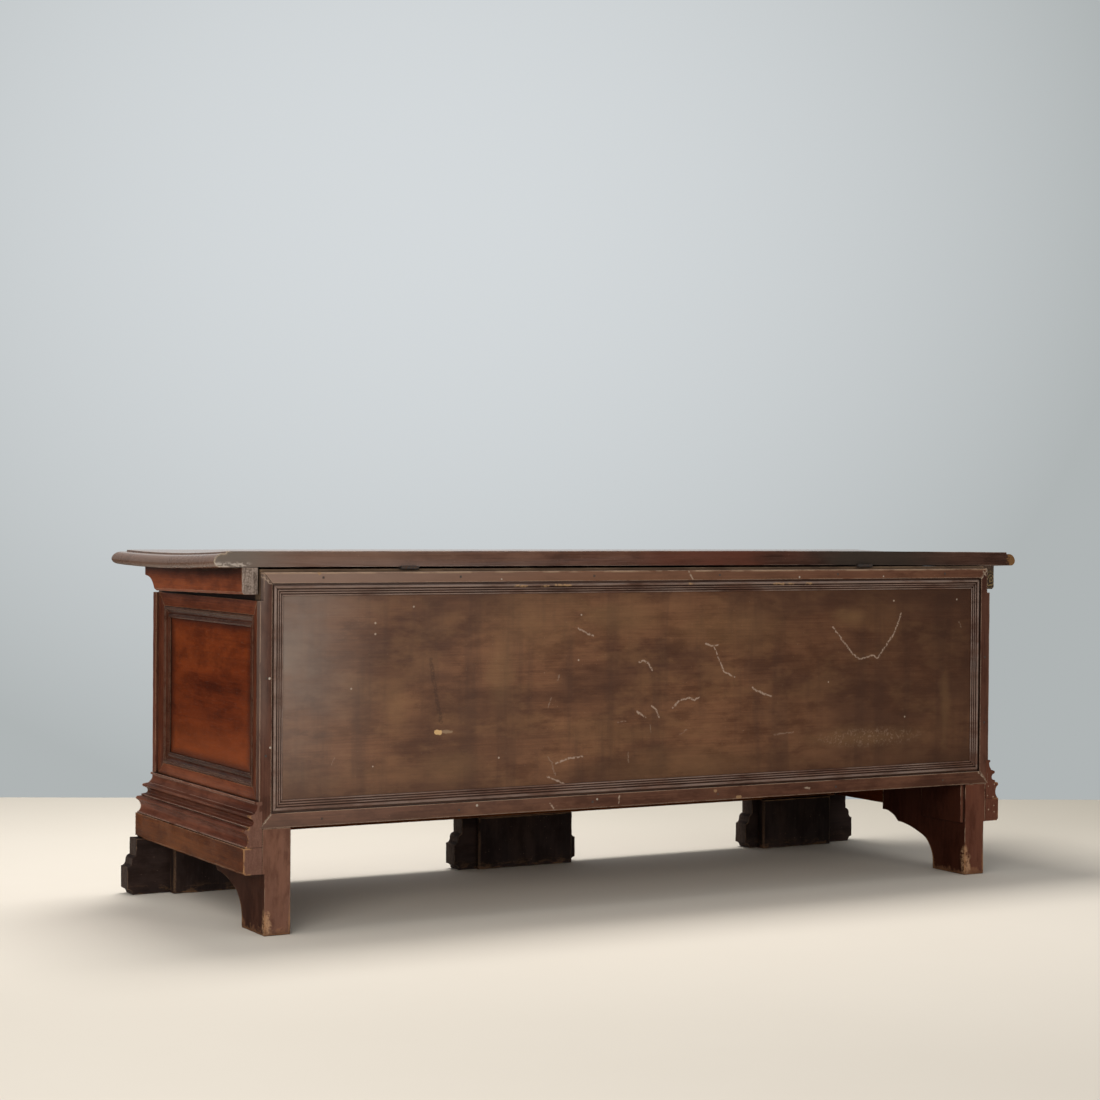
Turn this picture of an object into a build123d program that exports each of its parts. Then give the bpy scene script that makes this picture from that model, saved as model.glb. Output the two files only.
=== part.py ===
"""A long walnut cassone: a boarded chest on bracket feet, with framed and moulded faces and a hinged lid.

Origin: centre of the bounding box, on the floor. +X runs along the chest, the front faces -Y, +Z is up.
Left and right are named as seen from behind the chest, so the left end is at +X. Millimetres.
"""
import os
from math import cos, radians, sin, tan

from build123d import *

os.makedirs("parts", exist_ok=True)

# ---------------------------------------------------------------- driving dimensions
body_length = 1500.0
overall_depth = 520.0
body_depth = 487.3
foot_height = 100.0
base_top = 217.0
end_frame_top = 538.7
side_board_top = 585.0
front_top = 586.2

rear_y = overall_depth / 2
front_y = rear_y - body_depth
end_x = body_length / 2

board = 22.0
back_frame_thickness = 14.0
end_frame_thickness = 6.0
front_frame_thickness = 16.0
back_frame_bottom = 173.0
back_frame_top = 584.5
back_board_top = 589.0

back_board_y = rear_y - back_frame_thickness
front_board_y = front_y + front_frame_thickness
side_board_x = end_x - end_frame_thickness


def elevation(y):
    """A plane facing the front, drawn in X and Z; it extrudes towards the front."""
    return Plane(origin=(0, y, 0), x_dir=(1, 0, 0), z_dir=(0, -1, 0))


def end_view(x):
    """A plane facing the left end, drawn in Y and Z; it extrudes towards +X."""
    return Plane(origin=(x, 0, 0), x_dir=(0, 1, 0), z_dir=(1, 0, 0))


def save(piece, name):
    """Labels a finished piece and writes its STEP file."""
    piece.part.label = name
    export_step(piece.part, f"parts/{name}.step")


sides = {"left": 1, "right": -1}

# ---------------------------------------------------------------- carcass boards
with BuildPart() as back_board:
    with BuildSketch(elevation(back_board_y)):
        with Locations((0, (back_frame_bottom + back_board_top) / 2)):
            Rectangle(2 * side_board_x, back_board_top - back_frame_bottom)
    extrude(amount=board)
save(back_board, "back_board")

with BuildPart() as front_board:
    with BuildSketch(elevation(front_board_y)):
        with Locations((0, (back_frame_bottom + front_top) / 2)):
            Rectangle(2 * side_board_x, front_top - back_frame_bottom)
    extrude(amount=-board)
save(front_board, "front_board")

inner_rear_y = back_board_y - board
inner_front_y = front_board_y + board
inner_depth = inner_rear_y - inner_front_y
inner_mid_y = (inner_rear_y + inner_front_y) / 2
for side, sign in sides.items():
    with BuildPart() as side_board:
        with BuildSketch(end_view(sign * side_board_x)):
            with Locations((inner_mid_y, (back_frame_bottom + side_board_top) / 2)):
                Rectangle(inner_depth, side_board_top - back_frame_bottom)
        extrude(amount=-sign * board)
    save(side_board, f"side_board_{side}")

plank_thickness = 18.0
plank_lift = 3.0
plank_count = 3
plank_joint = 1.0
inner_length = 2 * (side_board_x - board)
plank_pitch = inner_depth / plank_count
for number, name in enumerate(("front", "middle", "rear")):
    plank_y = inner_front_y + plank_pitch * (number + 0.5)
    with BuildPart() as bottom_plank:
        with BuildSketch(Plane.XY.offset(back_frame_bottom + plank_lift)):
            with Locations((0, plank_y)):
                Rectangle(inner_length, plank_pitch - plank_joint)
        extrude(amount=plank_thickness)
    save(bottom_plank, f"bottom_plank_{name}")

# ---------------------------------------------------------------- back frame: four mitred strips, nailed on
back_opening_x = 728.4
back_opening_bottom = 197.0
back_opening_top = 566.5
back_panel_thickness = 8.0
nail_size = 3.6
nail_inset = 11.0
top_nail_inset = 9.0
rail_nails_x = (-640, -390, -130, 130, 390, 640)
stile_nails_z = (290, 415)
nail_points = [(x, back_frame_bottom + nail_inset) for x in rail_nails_x]
nail_points += [(x, back_frame_top - top_nail_inset) for x in rail_nails_x]
nail_points += [(sign * (end_x - nail_inset), z) for sign in (1, -1) for z in stile_nails_z]

back_frame_strips = {
    "back_rail_bottom": (
        (-end_x, back_frame_bottom),
        (end_x, back_frame_bottom),
        (back_opening_x, back_opening_bottom),
        (-back_opening_x, back_opening_bottom),
    ),
    "back_rail_top": (
        (-back_opening_x, back_opening_top),
        (back_opening_x, back_opening_top),
        (side_board_x, back_frame_top),
        (-side_board_x, back_frame_top),
    ),
}
for side, sign in sides.items():
    back_frame_strips[f"back_stile_{side}"] = (
        (sign * end_x, back_frame_bottom),
        (sign * end_x, end_frame_top),
        (sign * side_board_x, end_frame_top),
        (sign * side_board_x, back_frame_top),
        (sign * back_opening_x, back_opening_top),
        (sign * back_opening_x, back_opening_bottom),
    )

for name, corners in back_frame_strips.items():
    with BuildPart() as back_strip:
        with BuildSketch(elevation(rear_y)):
            with BuildLine():
                Polyline(*corners, close=True)
            make_face()
        extrude(amount=back_frame_thickness)
        with BuildSketch(elevation(rear_y)):
            with Locations(*nail_points):
                Rectangle(nail_size, nail_size)
        extrude(amount=back_frame_thickness, mode=Mode.SUBTRACT)
    save(back_strip, name)

with BuildPart() as frame_nails:
    with BuildSketch(elevation(rear_y)):
        with Locations(*nail_points):
            Rectangle(nail_size, nail_size)
    extrude(amount=back_frame_thickness)
save(frame_nails, "frame_nails")

with BuildPart() as back_panel:
    with BuildSketch(elevation(back_board_y + back_panel_thickness)):
        with Locations((0, (back_opening_bottom + back_opening_top) / 2)):
            Rectangle(2 * back_opening_x, back_opening_top - back_opening_bottom)
    extrude(amount=back_panel_thickness)
save(back_panel, "back_panel")

# ---------------------------------------------------------------- panel mouldings
mitre_gap = 0.1

# A bead and three reeds that step down from the frame to the panel, behind a narrow quirk.
# Each is drawn from the frame inwards: where it starts, where it stops and how high its shoulders are.
reeds = ((3.0, 8.6, 3.2), (9.4, 12.6, 2.6), (13.4, 16.6, 1.8), (17.4, 20.6, 1.0))
quirk_floor = 0.8
valley_floor = 0.4
reed_roundness = 0.4
with BuildSketch() as reeded_section:
    with BuildLine():
        Polyline((0, 0), (0, quirk_floor), (reeds[0][0], quirk_floor), (reeds[-1][0], valley_floor))
        Polyline((reeds[-1][0], valley_floor), (reeds[-1][0], 0), (0, 0))
    make_face()
    for start, stop, shoulder in reeds:
        with BuildLine():
            crown = shoulder + reed_roundness * (stop - start)
            ThreePointArc((start, shoulder), ((start + stop) / 2, crown), (stop, shoulder))
            Polyline((stop, shoulder), (stop, 0), (start, 0), (start, shoulder))
        make_face()

moulding_width = 20.0


def bead_and_cove(depth):
    """A bead proud of the frame, a hollow below it and a fine inner bead that meets the panel."""
    with BuildSketch() as section:
        with BuildLine():
            Line((0, 0), (0, depth - 0.5))
            ThreePointArc((0, depth - 0.5), (2.6, depth + 1.8), (5.2, depth - 0.5))
            Line((5.2, depth - 0.5), (6.2, depth - 0.5))
            ThreePointArc((6.2, depth - 0.5), (8.2, 3.6 + 0.25 * depth), (14.0, 2.6))
            ThreePointArc((14.0, 2.6), (16.4, 4.4), (18.8, 2.6))
            Polyline((18.8, 2.6), (moulding_width, 2.0), (moulding_width, 0), (0, 0))
        make_face()
    return section.sketch


def mitred_strip(section, first, last, inward, outward):
    """One length of panel moulding between two corners of an opening, mitred at both ends."""
    along = (last - first).normalized()
    with BuildPart() as strip:
        with BuildSketch(Plane(origin=(first + last) * 0.5, x_dir=inward, z_dir=inward.cross(outward))):
            add(section)
        extrude(amount=(last - first).length / 2, both=True)
        for corner, towards in ((first, along), (last, -along)):
            split(bisect_by=Plane(origin=corner + towards * mitre_gap, z_dir=towards - inward), keep=Keep.TOP)
    return strip.part


def moulding_frame(section, centre, across, outward, width, height):
    """The four strips of moulding around an opening. across is the opening's own horizontal direction."""
    half_width = across * (width / 2)
    half_height = Vector(0, 0, height / 2)
    up = Vector(0, 0, 1)
    strips = []
    for sign in (1, -1):
        rail = centre + half_height * sign
        stile = centre + half_width * sign
        strips.append(mitred_strip(section, rail - half_width, rail + half_width, up * -sign, outward))
        strips.append(mitred_strip(section, stile - half_height, stile + half_height, across * -sign, outward))
    return strips


back_opening_mid = (back_opening_bottom + back_opening_top) / 2
back_moulding_strips = moulding_frame(
    reeded_section.sketch,
    Vector(0, back_board_y + back_panel_thickness, back_opening_mid),
    Vector(1, 0, 0),
    Vector(0, 1, 0),
    2 * back_opening_x,
    back_opening_top - back_opening_bottom,
)
with BuildPart() as back_panel_moulding:
    add(back_moulding_strips)
save(back_panel_moulding, "back_panel_moulding")

# ---------------------------------------------------------------- end frames and their mouldings
end_opening_rear_y = 233.0
end_opening_front_y = -180.0
end_opening_bottom = 238.0
end_opening_top = 515.0
end_frame_front_y = front_board_y + 1.5
end_opening_mid = Vector(
    0, (end_opening_rear_y + end_opening_front_y) / 2, (end_opening_bottom + end_opening_top) / 2
)
end_strips = {
    "rail_bottom": (
        (end_frame_front_y, base_top),
        (back_board_y, base_top),
        (end_opening_rear_y, end_opening_bottom),
        (end_opening_front_y, end_opening_bottom),
    ),
    "rail_top": (
        (end_frame_front_y, end_frame_top),
        (back_board_y, end_frame_top),
        (end_opening_rear_y, end_opening_top),
        (end_opening_front_y, end_opening_top),
    ),
    "stile_front": (
        (end_frame_front_y, base_top),
        (end_frame_front_y, end_frame_top),
        (end_opening_front_y, end_opening_top),
        (end_opening_front_y, end_opening_bottom),
    ),
    "stile_rear": (
        (back_board_y, base_top),
        (back_board_y, end_frame_top),
        (end_opening_rear_y, end_opening_top),
        (end_opening_rear_y, end_opening_bottom),
    ),
}
for side, sign in sides.items():
    for name, corners in end_strips.items():
        with BuildPart() as end_strip:
            with BuildSketch(end_view(sign * side_board_x)):
                with BuildLine():
                    Polyline(*corners, close=True)
                make_face()
            extrude(amount=sign * end_frame_thickness)
        save(end_strip, f"end_{name}_{side}")

    end_moulding_strips = moulding_frame(
        bead_and_cove(end_frame_thickness),
        end_opening_mid + Vector(sign * side_board_x, 0, 0),
        Vector(0, 1, 0),
        Vector(sign, 0, 0),
        end_opening_rear_y - end_opening_front_y,
        end_opening_top - end_opening_bottom,
    )
    with BuildPart() as end_panel_moulding:
        add(end_moulding_strips)
    save(end_panel_moulding, f"end_panel_moulding_{side}")

# ---------------------------------------------------------------- front frame: two panels and a muntin
front_stile = 46.0
front_frame_overhang = 4.5
front_rail_top = front_top - end_opening_top
front_rail_bottom = 26.0
muntin_width = 72.0
front_opening_bottom = base_top + front_rail_bottom
front_opening_top = end_opening_top
front_opening_outer = end_x - front_stile
front_opening_width = front_opening_outer - muntin_width / 2
front_opening_height = front_opening_top - front_opening_bottom
front_members = {
    "front_rail_top": (0, front_top - front_rail_top / 2, 2 * front_opening_outer, front_rail_top),
    "front_rail_bottom": (0, base_top + front_rail_bottom / 2, 2 * front_opening_outer, front_rail_bottom),
    "front_muntin": (0, (front_opening_bottom + front_opening_top) / 2, muntin_width, front_opening_height),
}
for name, (x, z, width, height) in front_members.items():
    with BuildPart() as front_member:
        with BuildSketch(elevation(front_board_y)):
            with Locations((x, z)):
                Rectangle(width, height)
        extrude(amount=front_frame_thickness)
    save(front_member, name)

# The stiles stand a little proud of the ends, and are notched at the top beside the lid's battens.
front_stile_edge = end_x + front_frame_overhang
for side, sign in sides.items():
    with BuildPart() as front_stile_piece:
        with BuildSketch(elevation(front_board_y)):
            with BuildLine():
                Polyline(
                    (sign * front_opening_outer, base_top),
                    (sign * front_stile_edge, base_top),
                    (sign * front_stile_edge, end_frame_top),
                    (sign * side_board_x, end_frame_top),
                    (sign * side_board_x, front_top),
                    (sign * front_opening_outer, front_top),
                    close=True,
                )
            make_face()
        extrude(amount=front_frame_thickness)
    save(front_stile_piece, f"front_stile_{side}")

for side, sign in sides.items():
    front_moulding_strips = moulding_frame(
        bead_and_cove(front_frame_thickness),
        Vector(
            sign * (muntin_width + front_opening_width) / 2,
            front_board_y,
            (front_opening_bottom + front_opening_top) / 2,
        ),
        Vector(1, 0, 0),
        Vector(0, -1, 0),
        front_opening_width,
        front_opening_height,
    )
    with BuildPart() as front_panel_moulding:
        add(front_moulding_strips)
    save(front_panel_moulding, f"front_panel_moulding_{side}")

# ---------------------------------------------------------------- base moulding and plinth
plinth_top = 143.5
plinth_projection = 26.0


def base_section(backing):
    """The base moulding, drawn outwards from the frame's face: two hollows, two noses and a cove."""
    with BuildSketch() as section:
        with BuildLine():
            Polyline((-backing, base_top), (5.2, base_top), (5.4, 213.2), (3.0, 212.4))
            ThreePointArc((3.0, 212.4), (3.6, 205.6), (7.0, 200.4))
            Polyline((7.0, 200.4), (7.4, 198.6), (13.8, 196.4))
            ThreePointArc((13.8, 196.4), (17.0, 193.4), (13.8, 190.2))
            Line((13.8, 190.2), (11.0, 188.6))
            ThreePointArc((11.0, 188.6), (9.2, 184.0), (11.0, 179.8))
            Polyline((11.0, 179.8), (18.0, 177.4), (18.0, 175.6), (17.0, 174.8), (21.2, 173.8))
            ThreePointArc((21.2, 173.8), (25.4, 170.2), (22.0, 166.0))
            ThreePointArc((22.0, 166.0), (18.6, 156.2), (22.2, 146.0))
            Polyline(
                (22.2, 146.0), (23.4, 145.6), (23.4, plinth_top), (-backing, plinth_top), (-backing, base_top)
            )
        make_face()
    return section.sketch


def plinth_section(backing):
    """The plinth board, with its lower arris eased."""
    ease = 3.0
    with BuildSketch() as section:
        with BuildLine():
            Polyline(
                (plinth_projection, foot_height + ease),
                (plinth_projection, plinth_top),
                (-backing, plinth_top),
                (-backing, foot_height),
                (plinth_projection - ease, foot_height),
            )
            RadiusArc((plinth_projection - ease, foot_height), (plinth_projection, foot_height + ease), -ease)
        make_face()
    return section.sketch


def across_front(section):
    """A moulding along the front, mitred at both corners."""
    with BuildPart() as length:
        with BuildSketch(Plane(origin=(0, front_y, 0), x_dir=(0, -1, 0), z_dir=(-1, 0, 0))):
            add(section)
        extrude(amount=end_x + 2 * plinth_projection, both=True)
        for sign in (1, -1):
            corner = (sign * (end_x - mitre_gap), front_y, 0)
            split(bisect_by=Plane(origin=corner, z_dir=(-sign, -1, 0)), keep=Keep.TOP)
    return length


def along_end(section, sign):
    """A moulding along one end, mitred at the front and cut square at the rear."""
    with BuildPart() as length:
        with BuildSketch(Plane(origin=(sign * end_x, rear_y, 0), x_dir=(sign, 0, 0), z_dir=(0, -sign, 0))):
            add(section)
        extrude(amount=sign * (body_depth + 2 * plinth_projection))
        corner = (sign * end_x, front_y, 0)
        split(bisect_by=Plane(origin=corner, z_dir=(sign, 1, 0)), keep=Keep.TOP)
    return length


save(across_front(base_section(front_frame_thickness)), "base_moulding_front")
save(across_front(plinth_section(front_frame_thickness)), "plinth_front")
for side, sign in sides.items():
    save(along_end(plinth_section(end_frame_thickness), sign), f"plinth_{side}")
    with BuildPart() as base_moulding:
        add(along_end(base_section(end_frame_thickness), sign).part)
        with BuildSketch(elevation(rear_y)):
            with Locations((sign * (end_x + side_board_x) / 2, (base_top + back_frame_bottom) / 2)):
                Rectangle(end_frame_thickness, base_top - back_frame_bottom)
        extrude(amount=back_frame_thickness, mode=Mode.SUBTRACT)
    save(base_moulding, f"base_moulding_{side}")

# ---------------------------------------------------------------- rear feet: thick ogee brackets
rear_foot_inner_x = 694.5
rear_foot_outer_x = 740.0
rear_foot_front_y = 4.4
with BuildSketch() as rear_foot_outline:
    with BuildLine():
        Polyline(
            (163, 6), (164, 0), (rear_y, 0), (rear_y, back_frame_bottom),
            (rear_foot_front_y, back_frame_bottom), (rear_foot_front_y, 97.4),
        )
        ThreePointArc((rear_foot_front_y, 97.4), (28, 84.5), (54, 79))
        ThreePointArc((54, 79), (90, 75.5), (122, 64.5))
        ThreePointArc((122, 64.5), (151, 44), (163, 6))
    make_face()

for side, sign in sides.items():
    with BuildPart() as rear_foot:
        with BuildSketch(end_view(sign * rear_foot_inner_x)):
            add(rear_foot_outline.sketch)
        extrude(amount=sign * (side_board_x - rear_foot_inner_x))
        with BuildSketch(Plane.XY):
            with Locations((sign * (rear_foot_outer_x + side_board_x) / 2, 0)):
                Rectangle(side_board_x - rear_foot_outer_x, 2 * overall_depth)
        extrude(amount=foot_height, mode=Mode.SUBTRACT)
    save(rear_foot, f"rear_foot_{side}")

# A thin packing board on the inner face of the right foot, set in from the rear.
packing_thickness = 7.0
packing_front_y = 135.0
packing_rear_y = 255.0
with BuildPart() as foot_packing:
    with BuildSketch(end_view(-rear_foot_inner_x)):
        with Locations(((packing_front_y + packing_rear_y) / 2, (foot_height + back_frame_bottom) / 2)):
            Rectangle(packing_rear_y - packing_front_y, back_frame_bottom - foot_height)
    extrude(amount=packing_thickness)
save(foot_packing, "foot_packing")

# ---------------------------------------------------------------- front feet and the blocks glued behind them
foot_thickness = 37.0
foot_step = 16.0
foot_toe = 10.0
foot_shoulder = 8.0
foot_side_top = 50.0
foot_shoulder_z = (58.0, 61.0)
foot_neck_z = 70.0
foot_rear_y = -rear_y + foot_thickness
corner_block_thickness = 21.0
middle_block_thickness = 11.0
block_ease = 3.0
front_feet = {
    "left": ((519.0, 801.0), (549.0, 722.0), corner_block_thickness),
    "middle": ((-116.0, 151.0), (-104.0, 104.0), middle_block_thickness),
    "right": ((-790.0, -519.0), (-720.0, -549.0), corner_block_thickness),
}
for name, (foot_span, block_span, block_thickness) in front_feet.items():
    half = (foot_span[1] - foot_span[0]) / 2
    neck = half - foot_step
    shoulder = half - foot_shoulder
    with BuildPart() as front_foot:
        with BuildSketch(elevation(foot_rear_y)):
            with Locations((foot_span[0] + half, 0)):
                with BuildSketch(mode=Mode.PRIVATE) as half_foot:
                    with BuildLine():
                        Line((0, 0), (half - foot_toe, 0))
                        ThreePointArc((half - foot_toe, 0), (half - 2.6, 3.6), (half, foot_toe))
                        Line((half, foot_toe), (half, foot_side_top))
                        ThreePointArc((half, foot_side_top), (half - 2.4, 55.5), (shoulder, foot_shoulder_z[0]))
                        Line((shoulder, foot_shoulder_z[0]), (shoulder, foot_shoulder_z[1]))
                        ThreePointArc((shoulder, foot_shoulder_z[1]), (neck + 1.6, 64.5), (neck, foot_neck_z))
                        Polyline((neck, foot_neck_z), (neck, foot_height), (0, foot_height), (0, 0))
                    make_face()
                add(half_foot.sketch)
                add(half_foot.sketch.mirror(Plane.YZ))
        extrude(amount=foot_thickness)
    save(front_foot, f"front_foot_{name}")

    with BuildPart() as foot_block:
        with BuildSketch(elevation(foot_rear_y)):
            with Locations(((block_span[0] + block_span[1]) / 2, foot_height / 2)):
                Rectangle(block_span[1] - block_span[0], foot_height)
        extrude(amount=-block_thickness)
        chamfer(foot_block.faces().sort_by(Axis.Y)[-1].edges().filter_by(Axis.Z), length=block_ease)
    save(foot_block, f"foot_block_{name}")

# ---------------------------------------------------------------- lid: one cupped board with a thumbnail edge
lid_length = 1647.0
lid_width = 503.0
lid_thickness = 26.0
lid_cup = 4.5
lid_fall = 0.5
lid_rear_z = 592.5
lid_step = 21.0
step_height = 3.5
lid_corner = 15.0

lid_plane = Plane(
    origin=(0, back_board_y, lid_rear_z),
    x_dir=(0, -cos(radians(lid_fall)), -sin(radians(lid_fall))),
    z_dir=(-1, 0, 0),
)
cup_radius = (lid_width / 2) ** 2 / (2 * lid_cup) + lid_cup / 2
half_lid = lid_length / 2
nose_height = 9.0
nose_foot = 9.0
nose_foot_bulge = 2.6
nose_brow = (4.0, 18.6)
nose_back = 13.5
ledge = lid_thickness - step_height
front_nose_foot = 8.0
front_nose_foot_bulge = (2.4, 2.9)
front_nose_brow = (4.0, 18.0)
front_nose_back = ledge - 0.9
front_step_foot = ledge - 1.2
beyond_lid = 40.0

hinge_x = (480.0, -459.0)
hinge_names = ("left", "right")
leaf_thickness = 1.6
leaf_length = 32.0
leaf_depth = 22.0
knuckle_radius = 3.2
pin_radius = 1.5
running_clearance = 0.05
lower_leaf_z = back_board_top
upper_leaf_z = back_board_top + leaf_thickness + 0.2
hinge_y = back_board_y + knuckle_radius + 0.2
hinge_z = (lower_leaf_z + upper_leaf_z + leaf_thickness) / 2

lid_middle = lid_plane.from_local_coords(Vector(lid_width / 2, -lid_cup, 0))
cup_centre = lid_plane.from_local_coords(Vector(lid_width / 2, cup_radius - lid_cup, 0))
cup_sweep = 4.8
section_origin = cup_centre + (lid_middle - cup_centre).rotate(Axis.X, -cup_sweep / 2)
section_normal = lid_plane.x_dir.rotate(Axis.X, -cup_sweep / 2)
lid_front_y = back_board_y - lid_width

with BuildPart() as lid_board:
    # The end-to-end section, with a thumbnail at both ends, is turned about the axis of the cup.
    with BuildSketch(Plane(origin=section_origin, x_dir=(1, 0, 0), z_dir=section_normal)):
        with BuildLine():
            Line((0, 0), (half_lid - nose_foot, 0))
            ThreePointArc(
                (half_lid - nose_foot, 0), (half_lid - nose_foot_bulge, nose_foot_bulge), (half_lid, nose_height)
            )
            ThreePointArc(
                (half_lid, nose_height), (half_lid - nose_brow[0], nose_brow[1]), (half_lid - nose_back, ledge)
            )
            Polyline(
                (half_lid - nose_back, ledge), (half_lid - lid_step, ledge), (half_lid - lid_step, lid_thickness),
                (0, lid_thickness), (0, 0),
            )
        make_face()
        mirror(about=Plane.YZ)
    revolve(axis=Axis(origin=cup_centre, direction=(1, 0, 0)), revolution_arc=cup_sweep)
    with BuildSketch(Plane.XY.offset(lid_rear_z - beyond_lid)):
        with Locations((0, back_board_y - lid_width / 2)):
            Rectangle(lid_length, lid_width)
        fillet(vertices().group_by(Axis.Y)[0], radius=lid_corner)
    extrude(amount=lid_thickness + 2 * beyond_lid, mode=Mode.INTERSECT)
    # The thumbnail along the front, a shade lower than those of the ends.
    with BuildSketch(lid_plane):
        with BuildLine():
            Polyline(
                (lid_width - front_nose_foot, 0), (lid_width - front_nose_foot - 2, -1.5),
                (lid_width - front_nose_foot - 2, -beyond_lid), (lid_width + beyond_lid, -beyond_lid),
                (lid_width + beyond_lid, beyond_lid), (lid_width - lid_step, beyond_lid),
                (lid_width - lid_step, front_step_foot), (lid_width - nose_back, front_nose_back),
            )
            ThreePointArc(
                (lid_width - nose_back, front_nose_back), (lid_width - front_nose_brow[0], front_nose_brow[1]),
                (lid_width, nose_height),
            )
            ThreePointArc(
                (lid_width, nose_height), (lid_width - front_nose_foot_bulge[0], front_nose_foot_bulge[1]),
                (lid_width - front_nose_foot, 0),
            )
        make_face()
    extrude(amount=lid_length, both=True, mode=Mode.SUBTRACT)
    with BuildSketch(Plane.XY.offset(upper_leaf_z)):
        with Locations(*[(x, back_board_y - leaf_depth / 2) for x in hinge_x]):
            Rectangle(leaf_length, leaf_depth)
    extrude(amount=leaf_thickness, mode=Mode.SUBTRACT)
save(lid_board, "lid_board")

# ---------------------------------------------------------------- battens under the lid's ends
# They hang outside the ends of the chest. Their front ends are hollowed and their lower arris is bevelled.
with BuildPart() as above_underside:
    with BuildSketch(lid_plane):
        with BuildLine():
            ThreePointArc((0, 0), (lid_width / 2, -lid_cup), (lid_width, 0))
            Polyline((lid_width, 0), (lid_width, 2 * beyond_lid), (0, 2 * beyond_lid), (0, 0))
        make_face()
    extrude(amount=lid_length, both=True)

batten_thickness = 28.0
batten_inner_x = 746.5
batten_rear_y = 242.0
batten_front_y = -213.3
batten_toe_y = -164.0
batten_toe_z = 542.2
batten_rise = tan(radians(0.87))
batten_rear_z = batten_toe_z + batten_rise * (batten_rear_y - batten_toe_y)
batten_lip_z = 569.0
batten_top_z = 600.0
batten_hollow_start = (-204.0, 567.8)
batten_hollow_middle = (-178.0, 560.5)
batten_bevel = 4.0

for side, sign in sides.items():
    with BuildPart() as lid_batten:
        with BuildSketch(end_view(sign * batten_inner_x)):
            with BuildLine():
                Line((batten_toe_y, batten_toe_z), (batten_rear_y, batten_rear_z))
                Polyline(
                    (batten_rear_y, batten_rear_z), (batten_rear_y, batten_top_z),
                    (batten_front_y, batten_top_z), (batten_front_y, batten_lip_z), batten_hollow_start,
                )
                ThreePointArc(batten_hollow_start, batten_hollow_middle, (batten_toe_y, batten_toe_z))
            make_face()
        extrude(amount=sign * batten_thickness)
        outer_face = lid_batten.faces().sort_by(Axis.X)[-1 if sign > 0 else 0]
        chamfer(outer_face.edges().sort_by(Axis.Z)[0], length=batten_bevel)
        add(above_underside.part, mode=Mode.SUBTRACT)
    save(lid_batten, f"lid_batten_{side}")

# ---------------------------------------------------------------- hinges: iron butts with three knuckles
knuckle_joint = 0.3
middle_knuckle = 11.4
outer_knuckle = (leaf_length - middle_knuckle) / 2 - knuckle_joint
outer_knuckle_x = (middle_knuckle + outer_knuckle) / 2 + knuckle_joint
pin_overhang = 1.0


def knuckle(length, leaf_z):
    """The outline of a knuckle with the strap that ties it to its leaf, seen along the pin."""
    with BuildSketch() as outline:
        with Locations((hinge_y, hinge_z)):
            Circle(knuckle_radius)
        with Locations(((back_board_y + hinge_y) / 2, leaf_z + leaf_thickness / 2)):
            Rectangle(hinge_y - back_board_y, leaf_thickness)
    return outline.sketch


for name, x in zip(hinge_names, hinge_x):
    with BuildPart() as hinge_leaf_lower:
        with BuildSketch(Plane.XY.offset(lower_leaf_z)):
            with Locations((x, back_board_y - leaf_depth / 2)):
                Rectangle(leaf_length, leaf_depth)
        extrude(amount=leaf_thickness)
        for sign in (1, -1):
            with BuildSketch(end_view(x + sign * outer_knuckle_x)):
                add(knuckle(outer_knuckle, lower_leaf_z))
            extrude(amount=outer_knuckle / 2, both=True)
        with BuildSketch(end_view(x)):
            with Locations((hinge_y, hinge_z)):
                Circle(pin_radius)
        extrude(amount=leaf_length, both=True, mode=Mode.SUBTRACT)
    save(hinge_leaf_lower, f"hinge_leaf_lower_{name}")

    with BuildPart() as hinge_leaf_upper:
        with BuildSketch(Plane.XY.offset(upper_leaf_z)):
            with Locations((x, back_board_y - leaf_depth / 2)):
                Rectangle(leaf_length, leaf_depth)
        extrude(amount=leaf_thickness)
        with BuildSketch(end_view(x)):
            add(knuckle(middle_knuckle, upper_leaf_z))
        extrude(amount=middle_knuckle / 2, both=True)
        with BuildSketch(end_view(x)):
            with Locations((hinge_y, hinge_z)):
                Circle(pin_radius + running_clearance)
        extrude(amount=leaf_length, both=True, mode=Mode.SUBTRACT)
    save(hinge_leaf_upper, f"hinge_leaf_upper_{name}")

    with BuildPart() as hinge_pin:
        with BuildSketch(end_view(x)):
            with Locations((hinge_y, hinge_z)):
                Circle(pin_radius)
        extrude(amount=leaf_length / 2 + pin_overhang, both=True)
    save(hinge_pin, f"hinge_pin_{name}")

print(f"hinge axis at y {hinge_y:.1f}, z {hinge_z:.1f}")
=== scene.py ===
from functools import reduce
from math import atan2, cos, hypot, pi, radians, sin

import bpy
from mathutils import Matrix, Vector


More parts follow.
